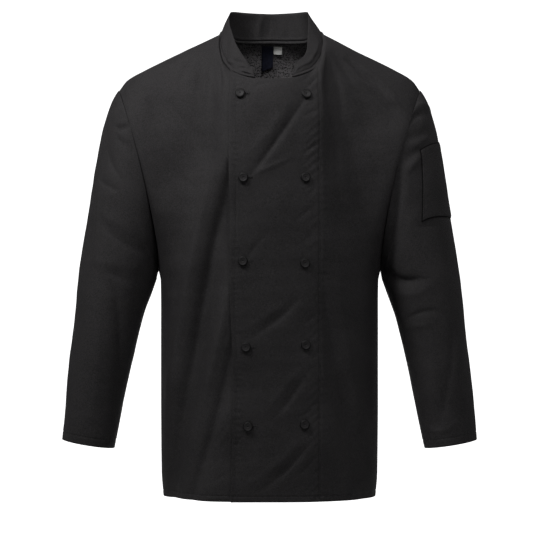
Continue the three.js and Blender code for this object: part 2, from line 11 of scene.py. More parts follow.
import bpy
import numpy as np
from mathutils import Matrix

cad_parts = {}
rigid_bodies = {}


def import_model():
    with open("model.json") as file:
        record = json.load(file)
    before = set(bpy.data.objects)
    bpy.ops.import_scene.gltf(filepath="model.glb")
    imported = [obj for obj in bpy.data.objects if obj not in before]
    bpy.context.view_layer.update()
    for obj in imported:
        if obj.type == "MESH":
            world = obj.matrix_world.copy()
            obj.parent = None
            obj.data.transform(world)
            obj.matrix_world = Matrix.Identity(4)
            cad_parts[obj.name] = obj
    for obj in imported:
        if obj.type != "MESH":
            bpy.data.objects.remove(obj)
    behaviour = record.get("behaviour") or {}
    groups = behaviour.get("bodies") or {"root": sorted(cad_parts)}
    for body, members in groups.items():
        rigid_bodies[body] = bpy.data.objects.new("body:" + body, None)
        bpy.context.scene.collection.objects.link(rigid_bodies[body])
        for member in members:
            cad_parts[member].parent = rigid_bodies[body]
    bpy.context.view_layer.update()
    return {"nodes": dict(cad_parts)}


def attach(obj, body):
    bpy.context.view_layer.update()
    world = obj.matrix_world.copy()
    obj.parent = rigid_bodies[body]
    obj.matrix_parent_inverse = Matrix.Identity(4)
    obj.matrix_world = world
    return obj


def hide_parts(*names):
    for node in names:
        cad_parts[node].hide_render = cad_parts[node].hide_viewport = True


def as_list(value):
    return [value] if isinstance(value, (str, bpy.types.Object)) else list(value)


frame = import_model()
print("packed nodes:", len(frame["nodes"]))

# %% [markdown]
# ## The camera
# The photograph was taken square on, from a few steps away. A level camera with a long lens does the
# same, and it is placed by two measures: how far it stands, and how wide its view is at the jacket.

# %% Place the camera
MM = 0.001
CAMERA_DISTANCE = 3.5
VIEW_WIDTH = 0.8883
VIEW_MIDDLE = (0.0008, -0.390)
SENSOR = 36.0

camera_data = bpy.data.cameras.new("camera")
camera_data.sensor_width = SENSOR
camera_data.lens = SENSOR * CAMERA_DISTANCE / VIEW_WIDTH
camera = bpy.data.objects.new("camera", camera_data)
camera.location = (VIEW_MIDDLE[0], -CAMERA_DISTANCE, VIEW_MIDDLE[1])
camera.rotation_euler = (math.pi / 2, 0, 0)
bpy.context.collection.objects.link(camera)
bpy.context.scene.camera = camera
print("lens:", round(camera_data.lens, 1), "mm")

# %% [markdown]
# ## Tables and a smooth curve through them
# A tailor's draft gives a few measures at a few heights. The same is done here: short tables in
# millimetres, and one function that draws a smooth curve through a table with no overshoot.

# %% Tables of measures
SIDE_Y = 5
UNDERARM_X = 182
UNDERARM_Z = -392
HEM_Z = -760
SHOULDER_TIP_X = 248
SQUARENESS = 2.3
STRAIGHT_HALF = 100
SEAM_GAP = 0.3
NECK_X = 3
NECK_HALF_WIDTH = 86
NECK_Y = -14
NECK_DEPTH = 76
NECK_SIDE_TURN = 108
NECK_REACH = 104


def table(names, *rows):
    return dict(zip(names.split(), np.array(rows, float).T))


BODY_SECTIONS = table(
    "z half front back",
    (-760, 174.5, 117, 110),
    (-720, 177.5, 118, 111),
    (-600, 178.5, 120, 112),
    (-450, 178.5, 122, 112),
    (-408, 179, 122, 113),
    (-392, 182, 122, 113.5),
)
NECK_SEAM = table(
    "turn z",
    (0, -84),
    (18, -82.5),
    (46, -70),
    (59, -58),
    (77, -37),
    (90, -20),
    (108, 0),
    (140, -11),
    (180, -9.5),
)
SHOULDER_FALL = table(
    "along z",
    (0, 0),
    (0.217, -18),
    (0.337, -28),
    (0.554, -44.5),
    (0.753, -61),
    (0.92, -77.4),
    (1, -94.5),
)


def read(rows, by, at, want):
    x, y = rows[by], rows[want]
    rise = np.diff(y) / np.diff(x)
    before, after = rise[:-1], rise[1:]
    same_way = before * after > 0
    inner = np.where(same_way, 2 * before * after / np.where(same_way, before + after, 1), 0)
    slope = np.concatenate([rise[:1], inner, rise[-1:]])
    at = np.clip(at, x[0], x[-1])
    low = np.clip(np.searchsorted(x, at, side="left") - 1, 0, len(x) - 2)
    span = x[low + 1] - x[low]
    t = (at - x[low]) / span
    lift = 3 * t**2 - 2 * t**3
    lead = t**3 - 2 * t**2 + t
    trail = t**3 - t**2
    held = y[low] * (1 - lift) + y[low + 1] * lift
    return held + span * (lead * slope[low] + trail * slope[low + 1])


def ease(part):
    part = np.clip(part, 0, 1)
    return part**2 * (3 - 2 * part)


def mix(start, end, part):
    return start + (end - start) * part


print("half width at the hem:", read(BODY_SECTIONS, "z", np.array([HEM_Z]), "half"))

# %% [markdown]
# ## The body's form
# Below the underarm the jacket is a rounded oblong tube. Above it each upright line of the cloth
# rises over the chest and bends in to the neck seam or to the shoulder. One function gives the
# place of every point from its column, across, and its row: 0 at the hem, 1 at the underarm and
# 2 at the neck and shoulders. Fronts and back share it, so their seams meet.

# %% Form of the body
NECK_FLAT = {-1: 80, 1: 60}
NECK_TILT = {-1: 62, 1: 50}
NECK_PULL = {-1: 62, 1: 72}
ARMHOLE_LOW = {-1: 86, 1: 94}
ARMHOLE_HIGH = {-1: 90, 1: 96}
ARMHOLE_FROM = 0.3
CHEST_RISE = 0.44
CHEST_PUSH = 6
ARMHOLE_LOW_RISE = 95
ARMHOLE_HIGH_IN = 16
ARMHOLE_HIGH_DROP = 29
LOW_LEAN = 0.12
HIGH_LEAN = 0.85


def stack(x, y, z):
    return np.stack(np.broadcast_arrays(x, y, z), -1)


def neck_point(turn):
    angle = np.radians(turn)
    return stack(
        NECK_X + NECK_HALF_WIDTH * np.sin(angle),
        NECK_Y - NECK_DEPTH * np.cos(angle),
        read(NECK_SEAM, "turn", np.abs(turn), "z"),
    )


def column_top(facing, column):
    side = np.where(column < NECK_X, -1, 1)
    out = np.abs(column - NECK_X)
    flat = NECK_FLAT[facing]
    flat_turn = np.degrees(np.arcsin(np.minimum(out, flat) / NECK_HALF_WIDTH))
    from_front = flat_turn if facing < 0 else 180 - flat_turn
    turn = mix(from_front, NECK_SIDE_TURN, np.clip((out - flat) / (NECK_REACH - flat), 0, 1))
    along = np.clip((out - NECK_REACH) / (UNDERARM_X - side * NECK_X - NECK_REACH), 0, 1)
    start = neck_point(side * NECK_SIDE_TURN)
    shoulder = stack(
        mix(start[..., 0], side * SHOULDER_TIP_X, along),
        mix(start[..., 1], SIDE_Y, along),
        read(SHOULDER_FALL, "along", along, "z"),
    )
    at = np.where((out <= NECK_REACH)[..., None], neck_point(side * turn), shoulder)
    return at, np.where(out <= NECK_REACH, turn, NECK_SIDE_TURN), along


def skirt_point(facing, column, z):
    half = read(BODY_SECTIONS, "z", z, "half")
    deep = read(BODY_SECTIONS, "z", z, "front" if facing < 0 else "back")
    out = np.abs(column)
    spread = ease((out - STRAIGHT_HALF) / (UNDERARM_X - STRAIGHT_HALF))
    part = np.minimum(1, mix(out / half, out / UNDERARM_X, spread))
    bow = (1 - part**SQUARENESS) ** (1 / SQUARENESS)
    return stack(np.sign(column) * half * part, SIDE_Y + facing * deep * bow, z)


def yoke_point(facing, column, t):
    start = skirt_point(facing, column, np.full_like(column, UNDERARM_Z))
    top, turn, along = column_top(facing, column)
    side = np.where(column < 0, -1, 1)
    armhole = ease((along - ARMHOLE_FROM) / (1 - ARMHOLE_FROM))
    reach = np.abs(turn - NECK_SIDE_TURN) / (NECK_SIDE_TURN if facing < 0 else 180 - NECK_SIDE_TURN)
    tilt = np.radians(NECK_TILT[facing] * ease(reach))
    pull = NECK_PULL[facing]
    rise = CHEST_RISE * (top[..., 2] - start[..., 2])
    low_side, high_side = (SIDE_Y + facing * deep[facing] for deep in (ARMHOLE_LOW, ARMHOLE_HIGH))
    low_y = mix(start[..., 1] + facing * CHEST_PUSH, low_side, armhole)
    high_y = mix(top[..., 1] + facing * pull * np.cos(tilt), high_side, armhole)
    low = stack(
        mix(mix(start[..., 0], top[..., 0], LOW_LEAN), start[..., 0], armhole),
        low_y,
        start[..., 2] + mix(rise, ARMHOLE_LOW_RISE, armhole),
    )
    high = stack(
        mix(mix(start[..., 0], top[..., 0], HIGH_LEAN), top[..., 0] - side * ARMHOLE_HIGH_IN, armhole),
        high_y,
        top[..., 2] - mix(pull * np.sin(tilt), ARMHOLE_HIGH_DROP, armhole),
    )
    t = t[..., None]
    return (1 - t) ** 3 * start + 3 * t * (1 - t) ** 2 * low + 3 * t**2 * (1 - t) * high + t**3 * top


def body_form(facing, column, row):
    column, row = np.broadcast_arrays(np.asarray(column, float), np.asarray(row, float))
    skirt = skirt_point(facing, column, mix(HEM_Z, UNDERARM_Z, np.minimum(row, 1)))
    yoke = yoke_point(facing, column, np.clip(row - 1, 0, 1))
    at = np.where((row <= 1)[..., None], skirt, yoke)
    at[..., 1] += facing * SEAM_GAP / 2
    return at


print("front middle of the neck:", body_form(-1, 0, 2).round(1))

# %% [markdown]
# ## Creases
# Worn cloth creases where the arm, chest and buttons pull on it. A crease could be simulated, but
# then it falls where it likes. These are placed one by one instead: each has a start, a point on its
# way, an end, a half-width and a depth, and its lean makes one side steeper. A depth below zero is
# a trough. Low, wide swells between them keep the rest of the cloth from looking ironed flat.

# %% Crease tools
Crease = namedtuple("Crease", "start way end wide deep lean")
CREASE_STEPS = 14
CREASE_REACH = 3.2
END_PART = 0.12
END_MARGIN = 0.08
SWELL_WAVES = 7


def creases(*rows, tall=1):
    """Each row: x z of the start, x z on the way, x z of the end, half-width, depth and lean."""
    return [Crease((a, b * tall), (c, d * tall), (e, f * tall), *rest) for a, b, c, d, e, f, *rest in rows]


def crease_rise(placed, x, z):
    rise = np.zeros_like(x)
    points = np.stack([x, z], -1)
    t = np.linspace(0, 1, CREASE_STEPS + 1)[:, None]
    for crease in placed:
        start, way, end = (np.array(p, float) for p in crease[:3])
        bend = 2 * way - (start + end) / 2
        line = (1 - t) ** 2 * start + 2 * t * (1 - t) * bend + t**2 * end
        room = CREASE_REACH * crease.wide
        near = np.all((points > line.min(0) - room) & (points < line.max(0) + room), -1)
        if not near.any():
            continue
        at = points[near]
        best = np.full(len(at), np.inf)
        along = np.zeros(len(at))
        side = np.ones(len(at))
        for step in range(CREASE_STEPS):
            first, second = line[step], line[step + 1]
            way_on = second - first
            part = np.clip(((at - first) @ way_on) / (way_on @ way_on), 0, 1)
            gap = at - first - part[:, None] * way_on
            away = np.hypot(gap[:, 0], gap[:, 1])
            closer = away < best
            best = np.where(closer, away, best)
            along = np.where(closer, (step + part) / CREASE_STEPS, along)
            turned = way_on[0] * gap[:, 1] - way_on[1] * gap[:, 0]
            side = np.where(closer, np.sign(turned), side)
        wide = crease.wide * (1 + crease.lean * side)
        slope = np.exp(1 - np.sqrt(1 + (2 * best / wide) ** 2))
        taper = END_PART + (1 - END_PART) * np.sin(np.pi * mix(END_MARGIN, 1 - END_MARGIN, along))
        rise[near] += crease.deep * taper * slope
    return rise


def swells(x, z, seed, size, height):
    dice = np.random.default_rng(seed)
    rise = np.zeros_like(x)
    for _ in range(SWELL_WAVES):
        angle = dice.uniform(0, math.pi)
        length = size * dice.uniform(0.7, 1.6)
        shift = dice.uniform(0, 2 * math.pi)
        bend = dice.uniform(0.2, 0.6)
        across = x * math.cos(angle) + z * math.sin(angle)
        beside = z * math.cos(angle) - x * math.sin(angle)
        curve = bend * np.sin(2 * math.pi * beside / (2.3 * length))
        rise += np.sin(2 * math.pi * across / length + curve + shift) * height / SWELL_WAVES
    return rise


def wander(along, seed, step):
    dice = np.random.default_rng(seed)
    count = int(np.ptp(along) / step) + 4
    knots = along.min() - step + step * np.arange(count)
    return np.interp(along, knots, dice.uniform(-1, 1, count))


def puckers(along, away, seed, spacing, reach, height):
    drift = wander(along, seed, 4 * spacing)
    strength = 0.6 + 0.4 * wander(along, seed + 1, 3 * spacing)
    wave = np.sin(2 * math.pi * (along / spacing + 0.6 * drift))
    return height * strength * wave * np.exp(-((away / reach) ** 2))


def line_rise(away, wide, deep):
    return deep * np.exp(-((away / wide) ** 2))


lone = creases((-9, 0, 0, 0, 9, 0, 3, -1, 0))
print("middle of a crease 1 mm deep:", crease_rise(lone, np.zeros(1), np.zeros(1)), "mm")

# %% [markdown]
# ## Where the creases are
# The tables are read off the worn jacket, in millimetres on its front view. A long fold falls from
# the chest to the hem on each side, the sleeves break at the elbow, and short drags run from the
# neck to the shoulders. The back and the backs of the sleeves aren't seen from the front, so they
# get creases of the same kind where a back has them.

# %% Creases of the fronts
FRONT_CREASES = creases(
    (-90, -232, -131, -400, -177, -690, 13, 4.6, 0.3),
    (-64, -410, -98, -560, -150, -735, 11, 3.4, 0),
    (-118, -150, -134, -260, -150, -390, 24, -4.0, 0),
    (-182, -98, -158, -132, -117, -193, 10, -3.6, 0.4),
    (-177, -88, -149, -123, -110, -167, 8, 1.8, 0),
    (-196, -107, -188, -125, -174, -155, 10, -2.2, 0),
    (-207, -98, -206, -110, -193, -139, 11, 1.6, 0),
    (-110, -58, -115, -91, -117, -126, 5, -2.8, 0),
    (-102, -52, -104, -85, -106, -118, 5, 1.8, 0),
    (-82, -60, -79, -80, -79, -108, 4, -2.2, 0),
    (-120, -40, -134, -62, -146, -90, 6, -2.2, 0),
    (-157, -233, -137, -247, -117, -261, 8, -1.5, 0),
    (-71, -641, -77, -651, -85, -662, 3, -1.0, 0),
    (-66, -662, -74, -670, -80, -681, 3, -1.0, 0),
    (-72, -716, -79, -722, -87, -730, 3, -0.8, 0),
    (-64, -477, -68, -492, -72, -506, 3, -1.0, 0),
    (55, -119, 12, -184, -27, -237, 6.5, -4.2, -0.3),
    (36, -117, 4, -164, -31, -202, 12, 2.0, 0),
    (-22, -235, 2, -226, 32, -212, 5, 1.6, 0),
    (-26, -102, -12, -93, 15, -88, 4, -1.2, 0),
    (63, -96, 68, -90, 74, -83, 3, -1.2, 0),
    (-63, -82, -58, -85, -50, -89, 2, -0.9, 0),
    (45, -438, 17, -466, -25, -496, 9, -2.4, -0.4),
    (29, -438, 1, -460, -31, -479, 10, 1.4, 0),
    (-9, -336, -21, -352, -36, -371, 5, -1.2, 0),
    (61, -555, 36, -592, 14, -620, 7, -2.4, -0.3),
    (45, -552, 23, -578, -2, -613, 8, 1.4, 0),
    (63, -665, 33, -703, -12, -741, 7, -2.6, -0.3),
    (45, -665, 17, -695, -25, -727, 8, 1.6, 0),
    (74, -689, 61, -702, 45, -717, 4, -1.3, 0),
    (84, -401, 106, -553, 158, -790, 14, -6.5, 0),
    (109, -402, 131, -549, 172, -740, 13, 2.8, 0),
    (90, -59, 91, -85, 90, -113, 4, -2.2, 0),
    (104, -36, 118, -58, 134, -84, 4.5, -2.8, 0),
    (117, -40, 131, -56, 144, -75, 4, 1.8, 0),
    (122, -46, 160, -77, 196, -112, 5, -4.2, 0.3),
    (141, -50, 169, -72, 198, -94, 5, 2.4, 0),
    (157, -91, 185, -115, 217, -147, 7, -4.2, 0.3),
    (169, -88, 198, -109, 220, -129, 6, 2.4, 0),
    (100, -62, 112, -98, 116, -150, 6, -2.6, 0),
    (96, -150, 106, -190, 108, -240, 8, -1.8, 0),
    (120, -136, 141, -231, 169, -342, 19, -2.6, 0),
    (99, -126, 112, -215, 131, -303, 16, 1.6, 0),
    (55, -144, 66, -139, 76, -134, 3, -0.9, 0),
    (52, -206, 64, -196, 76, -187, 3, -1.0, 0),
    (58, -272, 68, -263, 76, -252, 3, -1.0, 0),
    (42, -311, 58, -298, 76, -282, 4, -1.1, 0),
    (48, -350, 61, -339, 76, -323, 3, -0.9, 0),
    (55, -476, 64, -468, 74, -457, 3, -0.9, 0),
    (136, -468, 145, -481, 155, -495, 3, -0.7, 0),
    (128, -465, 137, -477, 145, -489, 2, -0.5, 0),
    (106, -725, 112, -733, 120, -743, 3, -0.8, 0),
    (133, -708, 139, -717, 145, -725, 3, -0.7, 0),
    (-53, -485, -44, -496, -37, -506, 3, -0.9, 0),
    (-50, -613, -42, -622, -37, -632, 3, -0.9, 0),
    (-41, -648, -47, -660, -53, -670, 3, -0.9, 0),
    (48, -625, 61, -617, 71, -611, 3, -0.9, 0),
    (-158, -438, -155, -517, -158, -597, 13, 1.5, 0),
)
UNDER_CREASES = creases(
    (-62, -225, -110, -430, -176, -800, 15, -11, 0.35),
    (-58, -228, -98, -450, -166, -800, 27, -9, 0.2),
    (-54, -470, -82, -610, -140, -800, 13, -7, 0.1),
)
print("creases of the fronts:", len(FRONT_CREASES + UNDER_CREASES))

# %% Creases of the sleeves
RIGHT_SLEEVE_CREASES = creases(
    (-250, -160, -240, -161, -222, -158, 3.5, -4.6, 0.4),
    (-248, -151, -238, -151, -222, -147, 3.5, 2.6, 0),
    (-244, -168, -231, -176, -215, -187, 5, 2.0, 0),
    (-249, -168, -242, -182, -220, -199, 5, -1.8, 0),
    (-267, -184, -257, -218, -239, -244, 6, -1.8, 0),
    (-276, -244, -262, -254, -244, -262, 6, -1.8, 0),
    (-255, -121, -246, -121, -238, -126, 4, -1.2, 0),
    (-270, -314, -241, -343, -191, -367, 14, -2.6, 0.3),
    (-278, -296, -249, -312, -210, -332, 12, 1.2, 0),
    (-262, -390, -249, -400, -229, -408, 9, -1.6, 0.2),
    (-301, -377, -259, -380, -200, -390, 12, 1.2, 0),
    (-252, -409, -242, -492, -244, -575, 10, -3.4, 0),
    (-276, -208, -281, -293, -288, -377, 4, 1.3, 0),
    (-247, -562, -244, -570, -241, -578, 6, -1.6, 0),
    (-301, -623, -288, -630, -278, -633, 6, 0.9, 0),
    (-275, -487, -278, -552, -285, -617, 10, 1.2, 0),
)
LEFT_SLEEVE_CREASES = creases(
    (219, -162, 233, -141, 252, -136, 6, -7.0, 0),
    (226, -140, 243, -122, 262, -128, 6, 5.5, 0),
    (219, -174, 236, -172, 256, -166, 6, -3.4, 0),
    (222, -190, 238, -186, 254, -178, 5, 3.6, 0),
    (218, -208, 231, -202, 243, -196, 6, -3.4, 0),
    (219, -231, 231, -221, 244, -208, 6, 3.4, 0),
    (217, -172, 203, -295, 194, -385, 19, -6.5, -0.3),
    (228, -314, 244, -319, 267, -319, 4, -1.6, 0),
    (212, -299, 228, -312, 244, -328, 6, 1.0, 0),
    (184, -381, 208, -404, 243, -404, 10, -6.5, -0.4),
    (199, -411, 231, -430, 280, -396, 11, 1.6, 0),
    (225, -468, 247, -458, 273, -456, 6, -2.4, -0.3),
    (218, -487, 238, -481, 263, -478, 6, 1.2, 0),
    (296, -468, 294, -546, 276, -636, 10, -3.2, 0),
    (254, -645, 278, -651, 304, -635, 5, 1.6, 0),
    (260, -504, 267, -552, 270, -601, 10, 1.4, 0),
    (220, -492, 228, -516, 234, -536, 5, -1.0, 0),
)
print("creases of the sleeves:", len(RIGHT_SLEEVE_CREASES + LEFT_SLEEVE_CREASES))

# %% Creases of the back
BACK_CREASES = creases(
    (2, -120, -7, -260, 5, -430, 26, -4, 0),
    (-152, -130, -112, -245, -66, -430, 17, -5.5, 0.4),
    (-128, -120, -92, -230, -52, -380, 14, 2.2, 0),
    (153, -140, 118, -250, 80, -410, 17, -5, -0.4),
    (124, -130, 92, -240, 58, -360, 14, 2.2, 0),
    (-56, -455, -84, -600, -116, -748, 18, -5.5, 0.4),
    (-30, -480, -54, -610, -80, -745, 15, 2.4, 0),
    (66, -430, 92, -600, 106, -748, 18, -5, -0.4),
    (40, -500, 58, -620, 70, -745, 15, 2, 0),
    (-172, -318, -122, -350, -56, -364, 10, -3.6, 0.3),
    (-170, -342, -130, -372, -80, -392, 9, 1.8, 0),
    (172, -320, 126, -350, 68, -358, 10, -3.4, -0.3),
    (168, -346, 132, -376, 88, -388, 9, 1.6, 0),
    (-90, -32, -88, -62, -96, -104, 7, -1.6, 0),
    (92, -32, 94, -66, 88, -110, 7, -1.5, 0),
    (-176, -404, -146, -440, -100, -470, 9, -2.2, 0),
    (176, -398, 150, -446, 108, -482, 9, -2.4, 0),
    (-20, -420, 6, -438, 36, -444, 10, -1.8, 0),
    (-34, -452, -6, -468, 24, -462, 9, -1.4, 0),
    (-160, -560, -150, -650, -152, -745, 12, -2.4, 0),
    (158, -520, 150, -640, 156, -740, 12, -2.6, 0),
)
SLEEVE_BACK_CREASES = creases(
    (250, -120, 238, -170, 222, -236, 9, -2.4, 0.3),
    (276, -170, 262, -230, 244, -300, 10, 1.8, 0),
    (196, -362, 232, -372, 290, -352, 9, -3.6, 0.3),
    (202, -392, 244, -404, 300, -384, 8, -4.2, 0.3),
    (214, -420, 252, -434, 304, -424, 8, -3.2, 0.2),
    (222, -452, 262, -462, 306, -462, 7, -2, 0),
    (200, -376, 240, -388, 296, -368, 7, 2, 0),
    (208, -406, 248, -420, 302, -404, 7, 2.2, 0),
    (288, -480, 296, -550, 300, -620, 11, -2.6, 0),
    (252, -500, 266, -560, 276, -640, 10, 1.6, 0),
    (262, -636, 284, -642, 310, -630, 6, -1.2, 0),
)
print("creases of the back:", len(BACK_CREASES + SLEEVE_BACK_CREASES))

# %% [markdown]
# ## From a net of points to a piece of cloth
# A sheet with no thickness would look like paper at its edges. Each panel is therefore two nets of
# points, an outer one and an inner one a millimetre below it, joined by a narrow rim all round. The
# outward directions come from the creased net itself, so the cloth keeps its thickness in a fold.

# %% Nets and closed cloth
CLOTH = 1.0
made = {}
cuts = {}
# Faces that take a dark finish as painted shade.
painted_shade_faces = {}


def net_normals(net, sign, tube=False):
    if tube:
        around = np.concatenate([net[:, -1:], net, net[:, :1]], 1)
        across = around[:, 2:] - around[:, :-2]
    else:
        across = np.gradient(net, axis=1)
    up = np.gradient(net, axis=0)
    normal = sign * np.cross(across, up)
    return normal / np.linalg.norm(normal, axis=-1, keepdims=True)


def strip(first, second):
    return np.stack([first[:-1], first[1:], second[1:], second[:-1]], -1)


def quads(ids):
    return np.stack([ids[:-1, :-1], ids[:-1, 1:], ids[1:, 1:], ids[1:, :-1]], -1).reshape(-1, 4)


def net_ids(rows, width, tube=True):
    ids = np.arange(rows * width).reshape(rows, width)
    return np.concatenate([ids, ids[:, :1]], 1) if tube else ids


def capped_tube(ids):
    return quads(ids).tolist() + [ids[0, :-1][::-1].tolist(), ids[-1, :-1].tolist()]


def closed_faces(rows, width, tube):
    ids = net_ids(rows, width, tube)
    outer = quads(ids)
    under = ids + rows * width
    inner = outer[:, ::-1] + rows * width
    faces = [outer, inner, strip(under[0], ids[0]), strip(ids[-1], under[-1])]
    if not tube:
        faces += [strip(ids[:, 0], under[:, 0]), strip(under[:, -1], ids[:, -1])]
    return np.concatenate(faces)


def faced_outward(vertices, faces):
    first, second, third = (vertices[faces[:, k]] - vertices.mean(0) for k in range(3))
    volume = (first * np.cross(second, third)).sum()
    return faces if volume >= 0 else faces[:, ::-1]


def new_object(name, vertices, faces, scale=MM):
    mesh = bpy.data.meshes.new(name)
    mesh.from_pydata((np.asarray(vertices, float) * scale).tolist(), [], faces)
    mesh.shade_smooth()
    thing = bpy.data.objects.new(name, mesh)
    bpy.context.collection.objects.link(thing)
    return thing


def flat_cut(net, tube=False):
    ring = np.concatenate([net, net[:, :1]], 1) if tube else net
    width = np.linalg.norm(np.diff(ring, axis=1), axis=-1).sum(1).max()
    length = np.linalg.norm(np.diff(net, axis=0), axis=-1).sum(0).max()
    side = ring[:-1, 1:] - ring[:-1, :-1]
    rise = ring[1:, :-1] - ring[:-1, :-1]
    area = np.linalg.norm(np.cross(side, rise), axis=-1).sum()
    return width * MM, length * MM, area * MM * MM


def cloth_piece(name, outer, inner, tube=False):
    rows, width = outer.shape[:2]
    vertices = np.concatenate([outer.reshape(-1, 3), inner.reshape(-1, 3)])
    faces = faced_outward(vertices, closed_faces(rows, width, tube))
    made[name] = new_object(name, vertices, faces.tolist())
    cuts[name] = flat_cut(outer, tube)
    print(name, "triangles:", 2 * len(faces), "cut in metres:", [round(size, 3) for size in cuts[name]])


print("cloth thickness:", CLOTH, "mm")

# %% [markdown]
# ## Fronts and back
# The upper front laps over the lower one, so it stands higher as far as the step beside the second
# row of buttons. Near every seam the cloth dips, which draws the seam as a dark line. The points stand
# in rows and columns, closer together at edges and at lines of sewing, where the cloth bends most.

# %% Measures of the body panels
FREE_EDGE_X = -62
UNDER_EDGE_X = 77
LAP_RISE = 2.7
LAP_FLAT_X = 80
LAP_END_X = 122
LAP_STITCH_X = 79
SEAM_DIP = 0.7
ARMHOLE_DIP = 0.45
COARSE = 3.0
FINE = 1.5
SKIRT_LENGTH = UNDERARM_Z - HEM_Z
YOKE_LENGTH = 395
HEM_TURN = 9
SIDE_COLUMNS = 46
SOFTEN_REACH = 9
UNDER_NECK_DROP = 0.016
SIDE_FADE = 14
TOP_FADE = 0.07
TIP_FADE = 30
UNDERARM_FADE = 25
NECK_FADE = 45
FREE_EDGE = table(
    "z x",
    (-760, -60.5),
    (-690, -59.5),
    (-640, -58.4),
    (-560, -57.4),
    (-440, -61.3),
    (-280, -62.8),
    (-170, -64.4),
    (-90, -63),
)
print("length of a panel on the body:", SKIRT_LENGTH + YOKE_LENGTH, "mm")

# %% Rows and columns of the body panels


def steps(start, end, size):
    return np.linspace(start, end, max(2, int(round(abs(end - start) / size)) + 1))


def join(*parts):
    return np.unique(np.concatenate(parts).round(4))


def side_columns(side):
    power = 2 / SQUARENESS
    first = side * NECK_X + NECK_REACH
    start = math.asin((first / UNDERARM_X) ** (1 / power))
    angles = np.linspace(start, math.pi / 2, SIDE_COLUMNS)
    columns = UNDERARM_X * np.sin(angles) ** power
    close = UNDERARM_X - np.array([0.02])
    return side * np.concatenate([columns[:-1], close, columns[-1:]])


def body_rows():
    skirt = np.concatenate([[0, 1.2, 3.0], steps(5, 13, 1), steps(15, SKIRT_LENGTH, 2.6)])
    yoke = np.concatenate([steps(2.6, YOKE_LENGTH - 6, 2.6), YOKE_LENGTH - np.array([3.5, 1.5, 0])])
    return join(skirt / SKIRT_LENGTH, 1 + yoke / YOKE_LENGTH)


print("rows of a panel:", len(body_rows()))

# %% How the cloth of the body rises and dips


def seam_dips(column, row):
    side = UNDERARM_X - np.abs(column)
    side_away = np.where(row > 1, side * 1.2, np.sqrt(np.maximum(side, 0)) * 9)
    top_away = (2 - row) * YOKE_LENGTH
    above, below = (row - 1) * YOKE_LENGTH, (1 - row) * SKIRT_LENGTH
    armhole = ARMHOLE_DIP * ease(top_away / TIP_FADE) * ease(above / TIP_FADE)
    deep = np.where(row > 1, armhole, SEAM_DIP * ease(below / UNDERARM_FADE))
    return line_rise(side_away, wide=2.2, deep=-deep) + line_rise(top_away, wide=3.0, deep=-SEAM_DIP)


def soften(net, row):
    """Rubs out the bend that the neck's side leaves down the chest, away from every edge."""
    width = 2 * SOFTEN_REACH + 1
    weights = np.hanning(width + 2)[1:-1]
    weights /= weights.sum()
    margins = ((0, 0), (SOFTEN_REACH, SOFTEN_REACH), (0, 0))
    padded = np.pad(net, margins, mode="reflect", reflect_type="odd")
    smooth = sum(weights[i] * padded[:, i:i + net.shape[1]] for i in range(width))
    part = ease((2 - row) * YOKE_LENGTH / NECK_FADE) * ease((row - 1.05) / 0.1)
    return mix(net, smooth, part[..., None])


def body_rise(facing, placed, x, z, column, row):
    from_side = (UNDERARM_X - np.abs(column)) / SIDE_FADE
    fade = np.clip(np.minimum(from_side, (2 - row) / TOP_FADE), 0, 1)
    behind = int(facing > 0)
    rise = crease_rise(placed, x, z)
    rise += swells(x, z, seed=11 + behind, size=95, height=3.4)
    rise += swells(x, z, seed=13 + behind, size=34, height=0.8)
    rise = rise * fade + seam_dips(column, row)
    hem_away = np.abs(z - HEM_Z - HEM_TURN)
    rise += line_rise(hem_away, wide=1.4, deep=-0.6)
    rise += puckers(x, hem_away, seed=21 + behind, spacing=10, reach=7, height=0.45)
    return rise


def shoulder_normals(normal, column, row):
    on_top = (row >= 2) & (np.abs(column - NECK_X) >= NECK_REACH)
    normal = normal.copy()
    normal[on_top, 1] = 0
    return normal / np.linalg.norm(normal, axis=-1, keepdims=True)


def panel(name, facing, bare, rise, column, row):
    net = bare + net_normals(bare, -facing) * rise[..., None]
    normal = shoulder_normals(net_normals(net, -facing), column, row)
    cloth_piece(name, net, net - CLOTH * normal)


print("the seams dip by", SEAM_DIP, "mm")

# %% [markdown]
# ## The two fronts
# The upper front ends in a free edge, the welt, that stands off the cloth below it, most at the hem.
# One line of sewing runs down that edge and another beside the second row of buttons, and both pull
# the twill into small puckers. Puckers are waves across the line that fade with distance from it.
# The lower front runs on under the lap and has the jacket's deepest folds.

# %% The two fronts
EDGE_SEAM = 7
EDGE_BLEND = 60
EDGE_COLUMNS = (0, 0.8, 2, 3.5, 5, 7)
WELT_FADE = 9
WELT = table("z lift", (-760, 3.6), (-700, 3.2), (-660, 2.0), (-600, 1.2), (-90, 0.8))


def lap_rise(x):
    return LAP_RISE * (1 - ease((x - LAP_FLAT_X) / (LAP_END_X - LAP_FLAT_X)))


